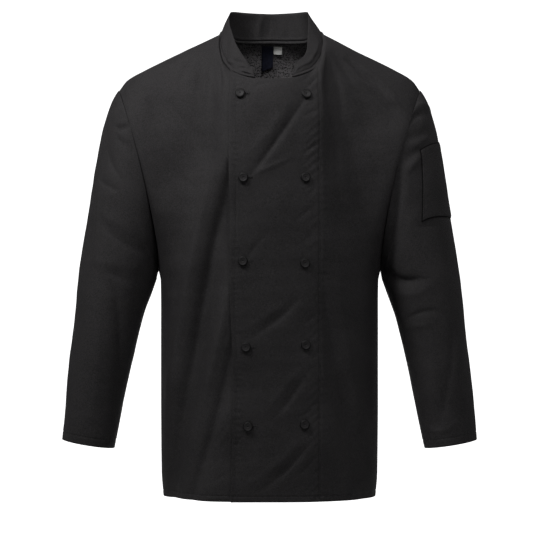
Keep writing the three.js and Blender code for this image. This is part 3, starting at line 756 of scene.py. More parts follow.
def left_front():
    inner = steps(FREE_EDGE_X + 9, 70, COARSE)
    edge = FREE_EDGE_X + np.array(EDGE_COLUMNS)
    columns = join(edge, inner, steps(70, 100, FINE), [103], side_columns(1))
    column, row = np.meshgrid(columns, body_rows())
    z = body_form(-1, column, row)[..., 2]
    shift = read(FREE_EDGE, "z", z, "x") - FREE_EDGE_X
    column = column + shift * (1 - ease((column - FREE_EDGE_X) / EDGE_BLEND))
    bare = soften(body_form(-1, column, row), row)
    x, z = bare[..., 0], bare[..., 2]
    rise = body_rise(-1, FRONT_CREASES, x, z, column, row) + lap_rise(column)
    edge_away = column - read(FREE_EDGE, "z", z, "x")
    rise += read(WELT, "z", z, "lift") * np.exp(-edge_away / WELT_FADE)
    rise += line_rise(edge_away - EDGE_SEAM, wide=1.6, deep=-0.55)
    rise += puckers(z, edge_away - EDGE_SEAM - 2, seed=31, spacing=9.5, reach=7, height=0.42)
    away = column - LAP_STITCH_X
    rise += line_rise(away, wide=1.5, deep=-0.8) + line_rise(away - 5, wide=3.0, deep=0.35)
    rise += puckers(z - 0.9 * away, away + 9, seed=32, spacing=15, reach=11, height=0.5)
    rise += puckers(z, away - 7, seed=33, spacing=12, reach=6, height=0.35)
    panel("left_front_cloth", -1, bare, rise, column, row)


def right_front():
    middle = join(steps(-103, FREE_EDGE_X, COARSE), steps(FREE_EDGE_X, UNDER_EDGE_X, COARSE))
    columns = join(side_columns(-1), middle)
    column, row = np.meshgrid(columns, body_rows())
    under = ease((column - FREE_EDGE_X) / 6)
    row = row - UNDER_NECK_DROP * under * ease((row - 1.8) / 0.2)
    bare = soften(body_form(-1, column, row), row)
    x, z = bare[..., 0], bare[..., 2]
    rise = body_rise(-1, FRONT_CREASES + UNDER_CREASES, x, z, column, row)
    panel("right_front_cloth", -1, bare, rise, column, row)


left_front()
right_front()

# %% [markdown]
# ## The back
# The back is one panel of knit mesh from shoulder to hem. It shares the form, the rows and the seam
# dips of the fronts, and has creases of its own, so that its seams meet theirs with no gap.

# %% The back


def back_panel():
    columns = join(side_columns(-1), steps(-103, 103, COARSE), side_columns(1))
    column, row = np.meshgrid(columns, body_rows())
    bare = soften(body_form(1, column, row), row)
    rise = body_rise(1, BACK_CREASES, bare[..., 0], bare[..., 2], column, row)
    panel("back_cloth", 1, bare, rise, column, row)


back_panel()

# %% [markdown]
# ## Sleeves
# A set-in sleeve is one tube whose top edge follows the armhole. Its rings are slanted at the
# shoulder and level out towards the cuff. The first rows blend from the armhole's own edge to the
# tube, so that the seam closes, and the cuff's turned hem is drawn by a sunk line of sewing.

# %% Form of the sleeves
SLEEVE_SECTIONS = table(
    "run out_x out_z in_x in_z deep mid_y",
    (0, 248, -94.5, 182, -392, 70, 7),
    (10, 254.5, -102, 182.8, -394.5, 70, 7),
    (25, 261, -117, 183.6, -397, 70, 7),
    (69, 274, -158, 184.4, -401, 69, 7),
    (122, 284, -210, 185, -405, 68, 6),
    (188, 295, -275, 187, -411, 66, 5),
    (259, 306, -345, 192, -425, 63, 3),
    (355, 318.5, -440, 205, -460, 59, -1),
    (436, 326.5, -521, 224.5, -539, 55, -5),
    (519, 334.7, -604, 242, -620, 50, -9),
    (582, 340.6, -667, 254.5, -681, 46, -12),
)
SLEEVE_LENGTH = 582
ARMHOLE_RUN = 22
CUFF_TURN = 13
SLEEVE_COLUMNS = 150
BACK_SHIFT = {1: (0, 0), -1: (4, 9)}
SLEEVE_FADE = 14


def ring_read(run, want):
    return read(SLEEVE_SECTIONS, "run", run, want)


def armhole_edge(side, angle):
    column = np.full_like(angle, side * UNDERARM_X)
    front = body_form(-1, column, 2 - np.minimum(angle, 180) / 180)
    back = body_form(1, column, np.maximum(angle, 180) / 180)
    return np.where((angle <= 180)[..., None], front, back)


def sleeve_form(side, run, angle):
    turn = np.radians(angle)
    out = stack(ring_read(run, "out_x"), 0, ring_read(run, "out_z"))
    inn = stack(ring_read(run, "in_x"), 0, ring_read(run, "in_z"))
    at = (out + inn) / 2 + (out - inn) * np.cos(turn)[..., None] / 2
    at[..., 1] = ring_read(run, "mid_y") - ring_read(run, "deep") * np.sin(turn)
    at[..., 0] *= side
    edge = armhole_edge(side, angle)
    edge[..., 0] += side * SEAM_GAP
    return mix(edge, at, ease(run / ARMHOLE_RUN)[..., None])


print("half depth of the sleeve at its cuff:", ring_read(np.array([SLEEVE_LENGTH]), "deep"), "mm")

# %% Cloth of the sleeves


def sleeve_rise(side, run, angle, x, z):
    turn = np.sin(np.radians(angle))
    in_front, behind = np.clip(turn * 4, 0, 1), np.clip(-turn * 4, 0, 1)
    fade = np.clip(run / SLEEVE_FADE, 0, 1)
    placed = LEFT_SLEEVE_CREASES if side > 0 else RIGHT_SLEEVE_CREASES
    over, down = BACK_SHIFT[side]
    rise = crease_rise(placed, x, z) * in_front
    rise += crease_rise(SLEEVE_BACK_CREASES, np.abs(x) + over, z + down) * behind
    wide_swells = swells(x + 0.4 * z, 0.4 * z + 60 * turn, seed=41 + side, size=90, height=2.4)
    rise += wide_swells + swells(x, z + 60 * turn, seed=44 + side, size=34, height=0.3)
    from_top = 180 - np.abs(angle % 360 - 180)
    from_ends = np.minimum(from_top, 180 - from_top)
    seam = line_rise(run, wide=2.4, deep=ARMHOLE_DIP) * ease(from_ends / SLEEVE_FADE)
    cuff_away = SLEEVE_LENGTH - run - CUFF_TURN
    rise = rise * fade - seam + line_rise(cuff_away, wide=1.4, deep=-0.6)
    return rise + puckers(angle, cuff_away, seed=51 + side, spacing=9, reach=7, height=0.4)


def sleeve(side):
    cuff = SLEEVE_LENGTH - CUFF_TURN
    runs = join(np.array([0, 1.2, 2.6]), steps(4.5, cuff - 5, 2.9), steps(cuff - 4, cuff + 4, 1))
    runs = join(runs, steps(cuff + 6, SLEEVE_LENGTH - 3, 2), SLEEVE_LENGTH - np.array([1.2, 0]))
    angles = np.arange(SLEEVE_COLUMNS) * 360 / SLEEVE_COLUMNS
    angle, run = np.meshgrid(angles, runs)
    bare = sleeve_form(side, run, angle)
    rise = sleeve_rise(side, run, angle, bare[..., 0], bare[..., 2])
    net = bare + net_normals(bare, side, tube=True) * rise[..., None]
    normal = net_normals(net, side, tube=True)
    name = "sleeve_left_cloth" if side > 0 else "sleeve_right_cloth"
    cloth_piece(name, net, net - CLOTH * normal, tube=True)


sleeve(1)
sleeve(-1)

# %% [markdown]
# ## Stand collar
# The collar is a doubled band sewn to the neck edge. Its seam is a firm roll of folded cloth, and the
# band above it leans in to the neck, crumpled where it is worn. It is drawn as a net from the seam
# to the top edge, all the way round from one rounded front end to the other.

# %% Form of the collar
COLLAR_CLOTH = 2.2
COLLAR_TOP_Y = -10
COLLAR_TOP_DEPTH = 68
COLLAR_BULGE = 2
COLLAR_END_LEFT = 36
COLLAR_END_RIGHT = -22
COLLAR_ROLL = 5.0
COLLAR_ROLL_HEIGHT = 2.7
COLLAR_DENT_HEIGHT = 40
ROLL_ROWS = 9
BAND_ROWS = 17
EDGE_ROUND = 2.0
COLLAR_EDGE = table(
    "turn x z",
    (-180, 3, 38),
    (-135, -54, 39),
    (-120, -63, 37.4),
    (-105, -66, 28),
    (-90, -66, 15.4),
    (-75, -61.7, -2),
    (-60, -54.4, -22.5),
    (-45, -46, -37.5),
    (-30, -36, -52.7),
    (-18.3, -28.8, -63),
    (22.7, 37, -70),
    (30, 39.4, -60.6),
    (38, 45.8, -52.5),
    (50, 55.6, -43.4),
    (60, 61, -30.6),
    (75, 63, -9.4),
    (90, 64.5, 12),
    (105, 64.5, 28),
    (120, 62.5, 37.4),
    (135, 56, 39),
    (180, 3, 38),
)
COLLAR_DENTS = creases(
    (-50, 0.22, -44, 0.5, -36, 0.7, 4, -3.4, 0),
    (-42, 0.15, -35, 0.4, -27, 0.55, 3.5, -3.0, 0),
    (-56, 0.3, -50, 0.6, -42, 0.85, 4, 2.0, 0),
    (-66, 0.2, -72, 0.5, -86, 0.85, 6, -2.2, 0),
    (-34, 0.12, -28, 0.2, -21, 0.22, 3, -3.0, 0),
    (-60, 0.15, -54, 0.3, -44, 0.4, 3.5, 2.4, 0),
    (22, 0.66, 48, 0.62, 80, 0.45, 6, 3.0, 0),
    (64, 0.2, 60, 0.5, 52, 0.85, 5, -1.4, 0),
    (34, 0.3, 35, 0.6, 40, 0.9, 4, -1.2, 0),
    (88, 0.2, 92, 0.5, 101, 0.9, 8, -1.2, 0),
    (-168, 0.1, -166, 0.5, -170, 0.95, 4.5, -2.2, 0),
    (168, 0.2, 166, 0.5, 172, 0.9, 4, -1.5, 0),
    (-176, 0.1, -178, 0.5, -179, 0.9, 4, 1.0, 0),
    (150, 0.2, 148, 0.5, 152, 0.9, 6, -1.2, 0),
    tall=COLLAR_DENT_HEIGHT,
)
print("dents in the collar:", len(COLLAR_DENTS))

# %% The collar's seam


def away_from_neck(turn):
    angle = np.radians(turn)
    return stack(np.sin(angle), -np.cos(angle), 0 * turn)


def collar_seam():
    front_left = steps(COLLAR_END_LEFT, NECK_X + NECK_REACH, 2.0)
    back = steps(NECK_X + NECK_REACH, NECK_X - NECK_REACH, 2.5)[1:-1]
    front_right = steps(NECK_X - NECK_REACH, COLLAR_END_RIGHT, 2.0)
    turns, places = [], []
    for facing, column in ((-1, front_left), (1, back), (-1, front_right)):
        at, turn, _ = column_top(facing, column)
        below = body_form(facing, column, np.full_like(column, 1.99))
        up = at - below
        up /= np.linalg.norm(up, axis=-1, keepdims=True)
        side = np.where(column < NECK_X, -1, 1)
        lap = np.where((facing < 0) & (column >= FREE_EDGE_X), lap_rise(column), 0)
        out = away_from_neck(side * turn)
        out = out - (out * up).sum(-1, keepdims=True) * up
        out /= np.linalg.norm(out, axis=-1, keepdims=True)
        turns.append(side * turn)
        places.append(at + out * (lap[:, None] - SEAM_DIP) + up * SEAM_GAP)
    return np.concatenate(turns), np.concatenate(places)


print("points along the collar's seam:", len(collar_seam()[0]))

# %% The collar's cloth


def collar():
    turn, seam = collar_seam()
    top = stack(
        read(COLLAR_EDGE, "turn", turn, "x"),
        COLLAR_TOP_Y - COLLAR_TOP_DEPTH * np.cos(np.radians(turn)),
        read(COLLAR_EDGE, "turn", turn, "z"),
    )
    tall = np.linalg.norm(top - seam, axis=-1)
    low = [np.minimum(height / tall, 1) for height in np.linspace(0, COLLAR_ROLL + 2, ROLL_ROWS)]
    high = [mix((COLLAR_ROLL + 2) / tall, 1, part) for part in np.linspace(0, 1, BAND_ROWS)[1:]]
    height = np.array(low + high)
    turn = np.broadcast_to(turn, height.shape)
    bare = mix(seam[None], top[None], height[..., None])
    out = away_from_neck(turn)
    mm_up = height * tall
    from_roll = (mm_up - COLLAR_ROLL / 2) / (COLLAR_ROLL / 2)
    rise = COLLAR_BULGE * 4 * height * (1 - height)
    rise += COLLAR_ROLL_HEIGHT * np.sqrt(np.clip(1 - from_roll**2, 0, 1))
    rise += crease_rise(COLLAR_DENTS, np.ascontiguousarray(turn), height * COLLAR_DENT_HEIGHT)
    rise += line_rise(mm_up - COLLAR_ROLL - 0.8, wide=1.0, deep=-0.6)
    rise += swells(turn, height * 30, seed=61, size=40, height=1.6)
    net = bare + out * rise[..., None]
    normal = net_normals(net, 1)
    edge = np.clip((tall - mm_up) / EDGE_ROUND, 0, 1)
    thick = COLLAR_CLOTH * (0.45 + 0.55 * np.sqrt(edge))
    cloth_piece("collar_cloth", net, net - normal * thick[..., None])


collar()

# %% [markdown]
# ## Rolled seam inside the neck
# Inside the neck the collar's seam allowance is bound in a narrow roll. A curve with a round bevel
# would look alike, but rings set on the seam's own points stay on the cloth and close at both ends.

# %% Rolled seam inside the neck
INSIDE_ROLL = 2.0
ROLL_SIDES = 14
ROLL_TALL = 1.25


def rolled_seam(name, path, radius):
    along = np.gradient(path, axis=0)
    along /= np.linalg.norm(along, axis=1, keepdims=True)
    side = np.cross(along, (0, 0, 1.0))
    side /= np.linalg.norm(side, axis=1, keepdims=True)
    up = np.cross(side, along)
    turn = np.linspace(0, 2 * math.pi, ROLL_SIDES, endpoint=False)
    ends = np.minimum(np.arange(len(path)), np.arange(len(path))[::-1]) / 3
    size = radius * np.sqrt(np.clip(ends, 0.02, 1))
    ring = np.cos(turn)[:, None] * side[:, None] + ROLL_TALL * np.sin(turn)[:, None] * up[:, None]
    rings = path[:, None] + size[:, None, None] * ring
    made[name] = new_object(name, rings.reshape(-1, 3), capped_tube(net_ids(len(path), ROLL_SIDES)))
    print(name, "rings:", len(path))


seam_turn, seam_path = collar_seam()
rolled_seam("inside_neck_roll", seam_path - away_from_neck(seam_turn) * INSIDE_ROLL, INSIDE_ROLL)

# %% [markdown]
# ## Sleeve pocket
# The pocket is a patch sewn round the outside of one sleeve, with a turned hem at its open top. A
# flat patch would cut through the round sleeve, so its net is found on the sleeve's own creased face
# and moved out. The folded edge is so narrow that its shade is painted on as a dark second finish.

# %% Patch pocket
POCKET_RUN = (91, 217)
POCKET_FRONT = (60.5, 81.5)
POCKET_STEP = (116, 74)
POCKET_BACK = -16
POCKET_BOW = 3
POCKET_CLEAR = 0.9
POCKET_CLOTH = 1.2
POCKET_WIDE = 110
POCKET_TALL = 120
POCKET_HEM = 16
SMALL_RUN = 0.5
SMALL_ANGLE = 0.4


def sleeve_surface(side, run, angle):
    turned = angle % 360
    at = sleeve_form(side, run, turned)
    rise = sleeve_rise(side, run, turned, at[..., 0], at[..., 2])
    after, before = (sleeve_form(side, run, (angle + step) % 360) for step in (SMALL_ANGLE, -SMALL_ANGLE))
    below, above = (sleeve_form(side, run + step, turned) for step in (SMALL_RUN, -SMALL_RUN))
    normal = side * np.cross(after - before, below - above)
    normal /= np.linalg.norm(normal, axis=-1, keepdims=True)
    return at + normal * rise[..., None], normal


def pocket_base(over, down):
    angle = mix(mix(*POCKET_FRONT, down), POCKET_BACK, over)
    run = mix(*POCKET_RUN, down) - mix(*POCKET_STEP, down) * (1 - np.cos(np.radians(angle)))
    run = run + POCKET_BOW * np.sin(np.radians(2 * angle))
    return sleeve_surface(1, run, angle)


def sleeve_pocket():
    down = np.concatenate([[0, 0.013], np.linspace(0.035, 0.965, 42), [0.987, 1]])[:, None]
    over = np.concatenate([[0, 0.016], np.linspace(0.04, 0.96, 38), [0.984, 1]])[None, :]
    base, normal = pocket_base(over, down)
    edge = np.minimum(np.minimum(over, 1 - over) * POCKET_WIDE, np.minimum(down, 1 - down) * POCKET_TALL)
    lift = POCKET_CLEAR + POCKET_CLOTH * (0.25 + 0.75 * ease(edge / 5))
    lift = lift + line_rise(edge - 3.2, wide=1.0, deep=-0.35)
    lift = lift + line_rise(down * POCKET_TALL - POCKET_HEM, wide=1.2, deep=-0.4)
    inner = base + normal * (POCKET_CLEAR - 0.5)
    cloth_piece("sleeve_pocket_cloth", base + normal * lift[..., None], inner)
    # Painted shade: every face but the middle of the outer face takes the dark finish.
    middle = np.zeros((down.size - 1, over.size - 1), bool)
    middle[1:-1, 1:-1] = True
    rim = np.ones(len(made["sleeve_pocket_cloth"].data.polygons), bool)
    rim[:middle.size] = ~middle.ravel()
    painted_shade_faces["sleeve_pocket_cloth"] = rim


sleeve_pocket()

# %% [markdown]
# ## Labels inside the back neck
# Two small woven labels are sewn inside the back neck, a dark one and a pale one, both bare. The
# body's form gives a place for each row, but not the row at a given height, so that is found by
# halving. Each label is a net on the back's face, moved inwards and curled a little at its free end.

# %% Labels inside the back neck
LABEL_CLEAR = 2.0
LABEL_CLOTH = 0.8
LABEL_COLUMNS = 12
LABEL_ROWS = 26
HALVINGS = 26
SMALL_ROW = 0.004


def body_face(facing, placed, x, z):
    low, high = np.zeros_like(x), np.full_like(x, 2.0)
    for _ in range(HALVINGS):
        middle = (low + high) / 2
        under = body_form(facing, x, middle)[..., 2] < z
        low, high = np.where(under, middle, low), np.where(under, high, middle)
    at = body_form(facing, x, low)
    across = body_form(facing, x + 0.5, low) - body_form(facing, x - 0.5, low)
    up = body_form(facing, x, np.minimum(low + SMALL_ROW, 2)) - body_form(facing, x, low - SMALL_ROW)
    normal = -facing * np.cross(across, up)
    normal /= np.linalg.norm(normal, axis=-1, keepdims=True)
    rise = body_rise(facing, placed, at[..., 0], at[..., 2], x, low)
    return at + normal * rise[..., None], normal


def label(name, left, right, top, bottom_left, bottom_right):
    over = np.linspace(0, 1, LABEL_COLUMNS)[None, :]
    down = np.linspace(0, 1, LABEL_ROWS)[:, None]
    x = mix(left, right, over) + 0 * down
    z = mix(top, mix(bottom_left, bottom_right, over), down)
    at, normal = body_face(1, BACK_CREASES, x, z)
    curl = 1.2 * down**2 + 0.4 * np.sin(over * math.pi) + LABEL_CLEAR
    outer = at - normal * curl[..., None]
    cloth_piece(name, outer, outer - normal * LABEL_CLOTH)


label("neck_label_cloth", left=-13, right=6, top=-14, bottom_left=-55, bottom_right=-48)
label("size_label_cloth", left=7, right=21.5, top=-14.5, bottom_left=-26.5, bottom_right=-26.5)

# %% [markdown]
# ## Buttons
# Each button is a turned disc, 16 mm across, with a raised rim and a small dimple. A turner cuts such
# a profile on a lathe, and here the same short profile is swept round an axis that stands on the cloth.
# Its underside, outer side and dimple get a second, darker finish: painted shade where it meets the cloth
# and in the dimple.

# %% Turned buttons
BUTTON_PLACES = {
    "a": ((-46, -109), (-41, -243), (-42, -375.5), (-37, -512.5), (-34, -639)),
    "b": ((59, -108.5), (57, -242.5), (56, -379), (57, -509), (55.5, -636)),
}
BUTTON_STAND = 1.3
BUTTON_SIDES = 64
# The first rings of faces, from the underside up the outer side, take painted shade.
BUTTON_SHADED_RINGS = 7
BUTTON_PROFILE = table(
    "radius height",
    (7.2, 0),
    (7.8, 0.3),
    (8.0, 0.8),
    (7.9, 1.3),
    (7.4, 1.6),
    (6.9, 1.75),
    (6.7, 1.9),
    (6.5, 2.3),
    (6.1, 2.6),
    (5.6, 2.55),
    (5.2, 2.2),
    (3.6, 2.0),
    (1.9, 1.95),
    (1.5, 1.85),
    (1.1, 1.4),
    (0.55, 1.2),
)
DIMPLE_HEIGHT = 1.15


def upright_frame(normal):
    side = np.cross((0, 0, 1.0), normal)
    side /= np.linalg.norm(side)
    return side, np.cross(normal, side)


def front_face(x, z):
    x, z = np.atleast_1d(np.asarray(x, float)), np.atleast_1d(np.asarray(z, float))
    at, normal = body_face(-1, FRONT_CREASES, x, z)
    return at + normal * lap_rise(x)[:, None], normal


def turned_button(name, x, z):
    at, normal = (found[0] for found in front_face(x, z))
    side, up = upright_frame(normal)
    seat = at + normal * BUTTON_STAND
    turn = np.linspace(0, 2 * math.pi, BUTTON_SIDES, endpoint=False)[:, None]
    circle = np.cos(turn) * side + np.sin(turn) * up
    rings = [seat + normal * height + radius * circle for radius, height in zip(*BUTTON_PROFILE.values())]
    vertices = np.concatenate([*rings, [seat], [seat + normal * DIMPLE_HEIGHT]])
    ids = net_ids(len(rings), BUTTON_SIDES)
    walls = quads(ids).tolist()
    under, top = ids[0].tolist(), ids[-1].tolist()
    bottom_hub, top_hub = len(vertices) - 2, len(vertices) - 1
    faces = walls + [[bottom_hub, second, first] for first, second in zip(under, under[1:])]
    faces += [[top_hub, first, second] for first, second in zip(top, top[1:])]
    order = np.arange(len(faces))
    # Painted shade: the outer side, the underside and the dimple's bottom take the dark finish.
    painted_shade_faces[name] = (order < BUTTON_SHADED_RINGS * BUTTON_SIDES) | (order >= len(walls))
    made[name] = new_object(name, vertices, faces)


for column_name, places in BUTTON_PLACES.items():
    for number, (x, z) in enumerate(places, 1):
        turned_button(f"turned_button_{column_name}_{number}", x, z)
print("buttons turned:", sum(name.startswith("turned") for name in made))

# %% [markdown]
# ## Stitches
# A line of sewing has hundreds of stitches, far too many to place by hand. Each is a small rounded
# bead laid along the cloth's own face, with a slight sway from a seeded generator, and the beads of a
# line are joined into one mesh. Hair or an array would need a curve on the creased cloth first.

# %% One stitch
STITCH_LENGTH = 2.5
STITCH_STEP = 3.1
STITCH_WIDE = 0.55
STITCH_HIGH = 0.3
STITCH_SWAY = 0.12
STITCH_LIFT = 0.05
BEAD_RINGS = ((-1, 0.15), (-0.8, 0.75), (-0.3, 1), (0.3, 1), (0.8, 0.75), (1, 0.15))
BEAD_SIDES = 6


def bead(at, along, normal, length, wide, high):
    along = along / np.linalg.norm(along)
    side = np.cross(normal, along)
    side /= np.linalg.norm(side)
    turn = np.linspace(0, 2 * math.pi, BEAD_SIDES, endpoint=False)[:, None]
    oval = np.cos(turn) * side * wide / 2 + np.sin(turn) * normal * high
    return np.concatenate([at + along * place * length / 2 + size * oval for place, size in BEAD_RINGS])


def sewing(name, beads):
    single = capped_tube(net_ids(len(BEAD_RINGS), BEAD_SIDES))
    size = len(BEAD_RINGS) * BEAD_SIDES
    faces = [[i + size * number for i in face] for number in range(len(beads)) for face in single]
    made[name] = new_object(name, np.concatenate(beads), faces)
    print(name, "stitches:", len(beads))


print("triangles of one stitch:", 2 * len(BEAD_RINGS) * BEAD_SIDES)

# %% A row of stitches
ROW_POINTS = 600


def at_run(middle, run, values):
    return np.array([np.interp(middle, run, values[:, k]) for k in range(3)])


def stitch_row(surface, start, end, dice):
    start, end = np.array(start, float), np.array(end, float)
    fine = mix(start, end, np.linspace(0, 1, ROW_POINTS)[:, None])
    places, normals = surface(fine[:, 0], fine[:, 1])
    run = np.concatenate([[0], np.cumsum(np.linalg.norm(np.diff(places, axis=0), axis=1))])
    beads = []
    for middle in np.arange(STITCH_STEP, run[-1] - STITCH_STEP, STITCH_STEP):
        before, at, after = (at_run(middle + shift, run, places) for shift in (-1, 0, 1))
        normal = at_run(middle, run, normals)
        along = after - before
        along = along + dice.uniform(-STITCH_SWAY, STITCH_SWAY) * np.cross(normal, along)
        at = at + normal * STITCH_LIFT
        beads.append(bead(at, along, normal, STITCH_LENGTH, STITCH_WIDE, STITCH_HIGH))
    return beads


print("stitches in 100 mm:", int(100 / STITCH_STEP))

# %% [markdown]
# ## Sums in a finish
# A finish is a net of small nodes, and a sum of three values already takes two of them. The class
# below wraps a socket, so that plus, minus and times add those nodes. Finishes can then be written as
# plain expressions of the place on the jacket, which stays put when the view changes.

# %% Shader maths


class Wire:
    """A socket in a finish. Sums and products of wires add the nodes that work them out."""

    def __init__(self, tree, socket):
        self.tree = tree
        self.socket = socket

    def node(self, kind, settings=None, inputs=None, output=0):
        made_node = self.tree.nodes.new(kind)
        for name, value in (settings or {}).items():
            if name == "stops":
                ramp = made_node.color_ramp
                while len(ramp.elements) < len(value):
                    ramp.elements.new(0.5)
                for element, (place, colour) in zip(ramp.elements, value):
                    element.position = place
                    element.color = colour
            else:
                setattr(made_node, name, value)
        for key, value in (inputs or {}).items():
            target = made_node.inputs[key]
            if isinstance(value, Wire):
                self.tree.links.new(value.socket, target)
            else:
                target.default_value = value
        return Wire(self.tree, made_node.outputs[output])

    def math(self, operation, first, second=0.0):
        return self.node("ShaderNodeMath", {"operation": operation}, {0: first, 1: second})

    def __add__(self, other):
        return self.math("ADD", self, other)

    def __sub__(self, other):
        return self.math("SUBTRACT", self, other)

    def __mul__(self, other):
        return self.math("MULTIPLY", self, other)

    __radd__ = __add__
    __rmul__ = __mul__

    def sine(self):
        return self.math("SINE", self)

    def above(self, low, high):
        return self.node(
            "ShaderNodeMapRange",
            {"interpolation_type": "SMOOTHSTEP"},
            {"Value": self, "From Min": low, "From Max": high},
        )

    def mix_colour(self, first, second):
        return self.node("ShaderNodeMix", {"data_type": "RGBA"}, {0: self, 6: first, 7: second}, output=2)

    def scaled(self, factor):
        return self.node("ShaderNodeVectorMath", {"operation": "MULTIPLY"}, {0: self, 1: factor})

    def noise(self, scale, detail=2.0):
        return self.node("ShaderNodeTexNoise", {}, {"Vector": self, "Scale": scale, "Detail": detail})

    def parts(self):
        split = self.tree.nodes.new("ShaderNodeSeparateXYZ")
        self.tree.links.new(self.socket, split.inputs[0])
        return [Wire(self.tree, socket) for socket in split.outputs]

    def bump(self, distance, under=None):
        inputs = {"Height": self, "Distance": distance, "Strength": 1.0}
        if under is not None:
            inputs["Normal"] = under
        return self.node("ShaderNodeBump", {}, inputs)


def finish(name, constants):
    material = bpy.data.materials.new(name)
    material.use_nodes = True
    tree = material.node_tree
    shader = tree.nodes["Principled BSDF"]
    for socket, value in constants.items():
        shader.inputs[socket].default_value = value
    coordinates = tree.nodes.new("ShaderNodeTexCoord")
    place = Wire(tree, coordinates.outputs["Object"])

    def feed(socket, wire):
        tree.links.new(wire.socket, shader.inputs[socket])

    return material, place, feed


print("sums that a wire knows:", [word for word in ("add", "sub", "mul") if hasattr(Wire, f"__{word}__")])

# %% [markdown]
# ## Cloth finishes
# Twill is woven in slanting ribs finer than a millimetre. Modelling them would take millions of faces,
# so they are a bump made of two sine waves, with fine noise for the fuzz. Larger noise varies the tone
# a little, as in dyed cotton. The knit mesh has open cells, so a Voronoi pattern gives its holes.

# %% Cloth finishes
RIB = 0.0011
YARN = 0.00055
SHEEN_TINT = (0.9, 0.82, 0.88, 1)


def grey(level, warmth=0.0):
    return (level * (1 + warmth), level, level * (1 + 0.6 * warmth), 1)


def twill_finish(name, dark, light):
    sheen = {"Sheen Weight": 0.015, "Sheen Roughness": 0.35, "Sheen Tint": SHEEN_TINT}
    material, place, feed = finish(name, {**sheen, "Specular IOR Level": 0.14})
    x, y, z = place.parts()
    slant = ((x + y + z * 1.15) * (2 * math.pi / RIB)).sine()
    yarn = ((z - x * 0.7 - y * 0.7) * (2 * math.pi / YARN)).sine()
    cloud = place.noise(14.0, 3.0)
    mottle = place.noise(210.0, 2.0)
    fuzz = place.noise(1600.0, 2.0)
    grain = place.noise(900.0, 1.0)
    tone = (cloud * 0.2 + mottle * 0.15 + grain * 0.65).above(0.36, 0.64)
    feed("Base Color", tone.mix_colour(dark, light))
    feed("Roughness", 0.56 + 0.16 * mottle)
    weave = slant * 0.5 + yarn * 0.2 + fuzz * 1.2
    feed("Normal", weave.bump(0.00012, mottle.bump(0.0001)))
    return material


def knit_finish(name, dark, light):
    look = {"Sheen Weight": 0.03, "Sheen Roughness": 0.5, "Specular IOR Level": 0.15}
    material, place, feed = finish(name, look)
    squashed = place.scaled((1, 1, 0.8))
    cells = place.node("ShaderNodeTexVoronoi", {}, {"Vector": squashed, "Scale": 480.0, "Randomness": 0.8})
    blotch = place.noise(440.0, 1.0)
    holes = cells.above(0.2, 0.6)
    speck = (holes * 0.5 + blotch).above(0.62, 0.86)
    feed("Base Color", speck.mix_colour(dark, light))
    feed("Roughness", 0.8 + 0.12 * blotch)
    feed("Normal", (holes * 1.0).bump(0.0006))
    return material


twill = twill_finish("twill", grey(0.0145, 0.06), grey(0.0315, 0.07))
knit = knit_finish("knit_mesh", grey(0.024, 0.05), grey(0.165, 0.05))
print("cloth finishes:", twill.name, "and", knit.name)

# %% [markdown]
# ## Finishes of the small parts
# A label is woven in fine level ribs. A button is cast resin: nearly even in colour, smoother than
# cloth, with faint scuffs that break up its shine. Sewing thread is two plies twisted together, which
# shows as a slanting ripple.

# %% Finishes of labels, buttons and thread
LABEL_RIB = 0.0009
THREAD_PLY = 0.0006


def label_finish(name, dark, light, shine=0.2):
    material, place, feed = finish(name, {"Sheen Weight": 0.1 * shine, "Specular IOR Level": shine})
    height = place.parts()[2]
    ribs = (height * (2 * math.pi / LABEL_RIB)).sine()
    blur = place.noise(300.0)
    feed("Base Color", blur.above(0.3, 0.7).mix_colour(dark, light))
    feed("Roughness", 0.55 + 0.15 * blur)
    feed("Normal", (ribs * 0.5 + blur * 0.8).bump(0.00015))
    return material


def button_finish(name, dark, light):
    material, place, feed = finish(name, {"Specular IOR Level": 0.12})
    cloud = place.noise(160.0, 2.0)
    scuff = place.noise(900.0, 3.0)
    feed("Base Color", cloud.above(0.3, 0.7).mix_colour(dark, light))
    feed("Roughness", 0.42 + 0.18 * scuff)
    feed("Normal", scuff.bump(0.00005))
    return material


def thread_finish(name, dark, light):
    material, place, feed = finish(name, {"Sheen Weight": 0.03, "Specular IOR Level": 0.15})
    x, y, z = place.parts()
    ply = ((x + y + z) * (2 * math.pi / THREAD_PLY)).sine()
    tone = place.noise(700.0)
    feed("Base Color", tone.above(0.3, 0.7).mix_colour(dark, light))
    feed("Roughness", 0.5 + 0.2 * tone)
    feed("Normal", ply.bump(0.00008))
    return material


navy = label_finish("neck_label_weave", (0.006, 0.007, 0.018, 1), (0.012, 0.014, 0.03, 1))
white = label_finish("size_label_weave", (0.62, 0.62, 0.6, 1), (0.74, 0.74, 0.72, 1))
resin = button_finish("button_resin", grey(0.02, 0.05), grey(0.026, 0.05))
# Painted shade: a near-black copy of the resin where a button meets the cloth and in its dimple.
painted_button_shade = button_finish("button_edge", grey(0.004, 0.05), grey(0.006, 0.05))
# Painted shade: a near-black finish on the pocket's folded edge.
pocket_edge_painted_shade = label_finish("pocket_edge_painted_shade", grey(0.004, 0.05), grey(0.008, 0.05), 0.02)
thread = thread_finish("thread", grey(0.012, 0.05), grey(0.05, 0.05))
print("finishes:", len(bpy.data.materials))

# %% [markdown]
# ## Sew the visible lines
# Only the lines that show on the real jacket are sewn: the free edge, the line down the lap, parts of
# the hem, both cuffs, the pocket and the buttonholes.

# %% Rows of stitches on the fronts
LAP_TOP_Z = -92
LAP_BOTTOM_Z = HEM_Z + 4
dice = np.random.default_rng(7)


def hem_line(start_x, end_x):
    return stitch_row(front_face, (start_x, HEM_Z + HEM_TURN), (end_x, HEM_Z + HEM_TURN), dice)


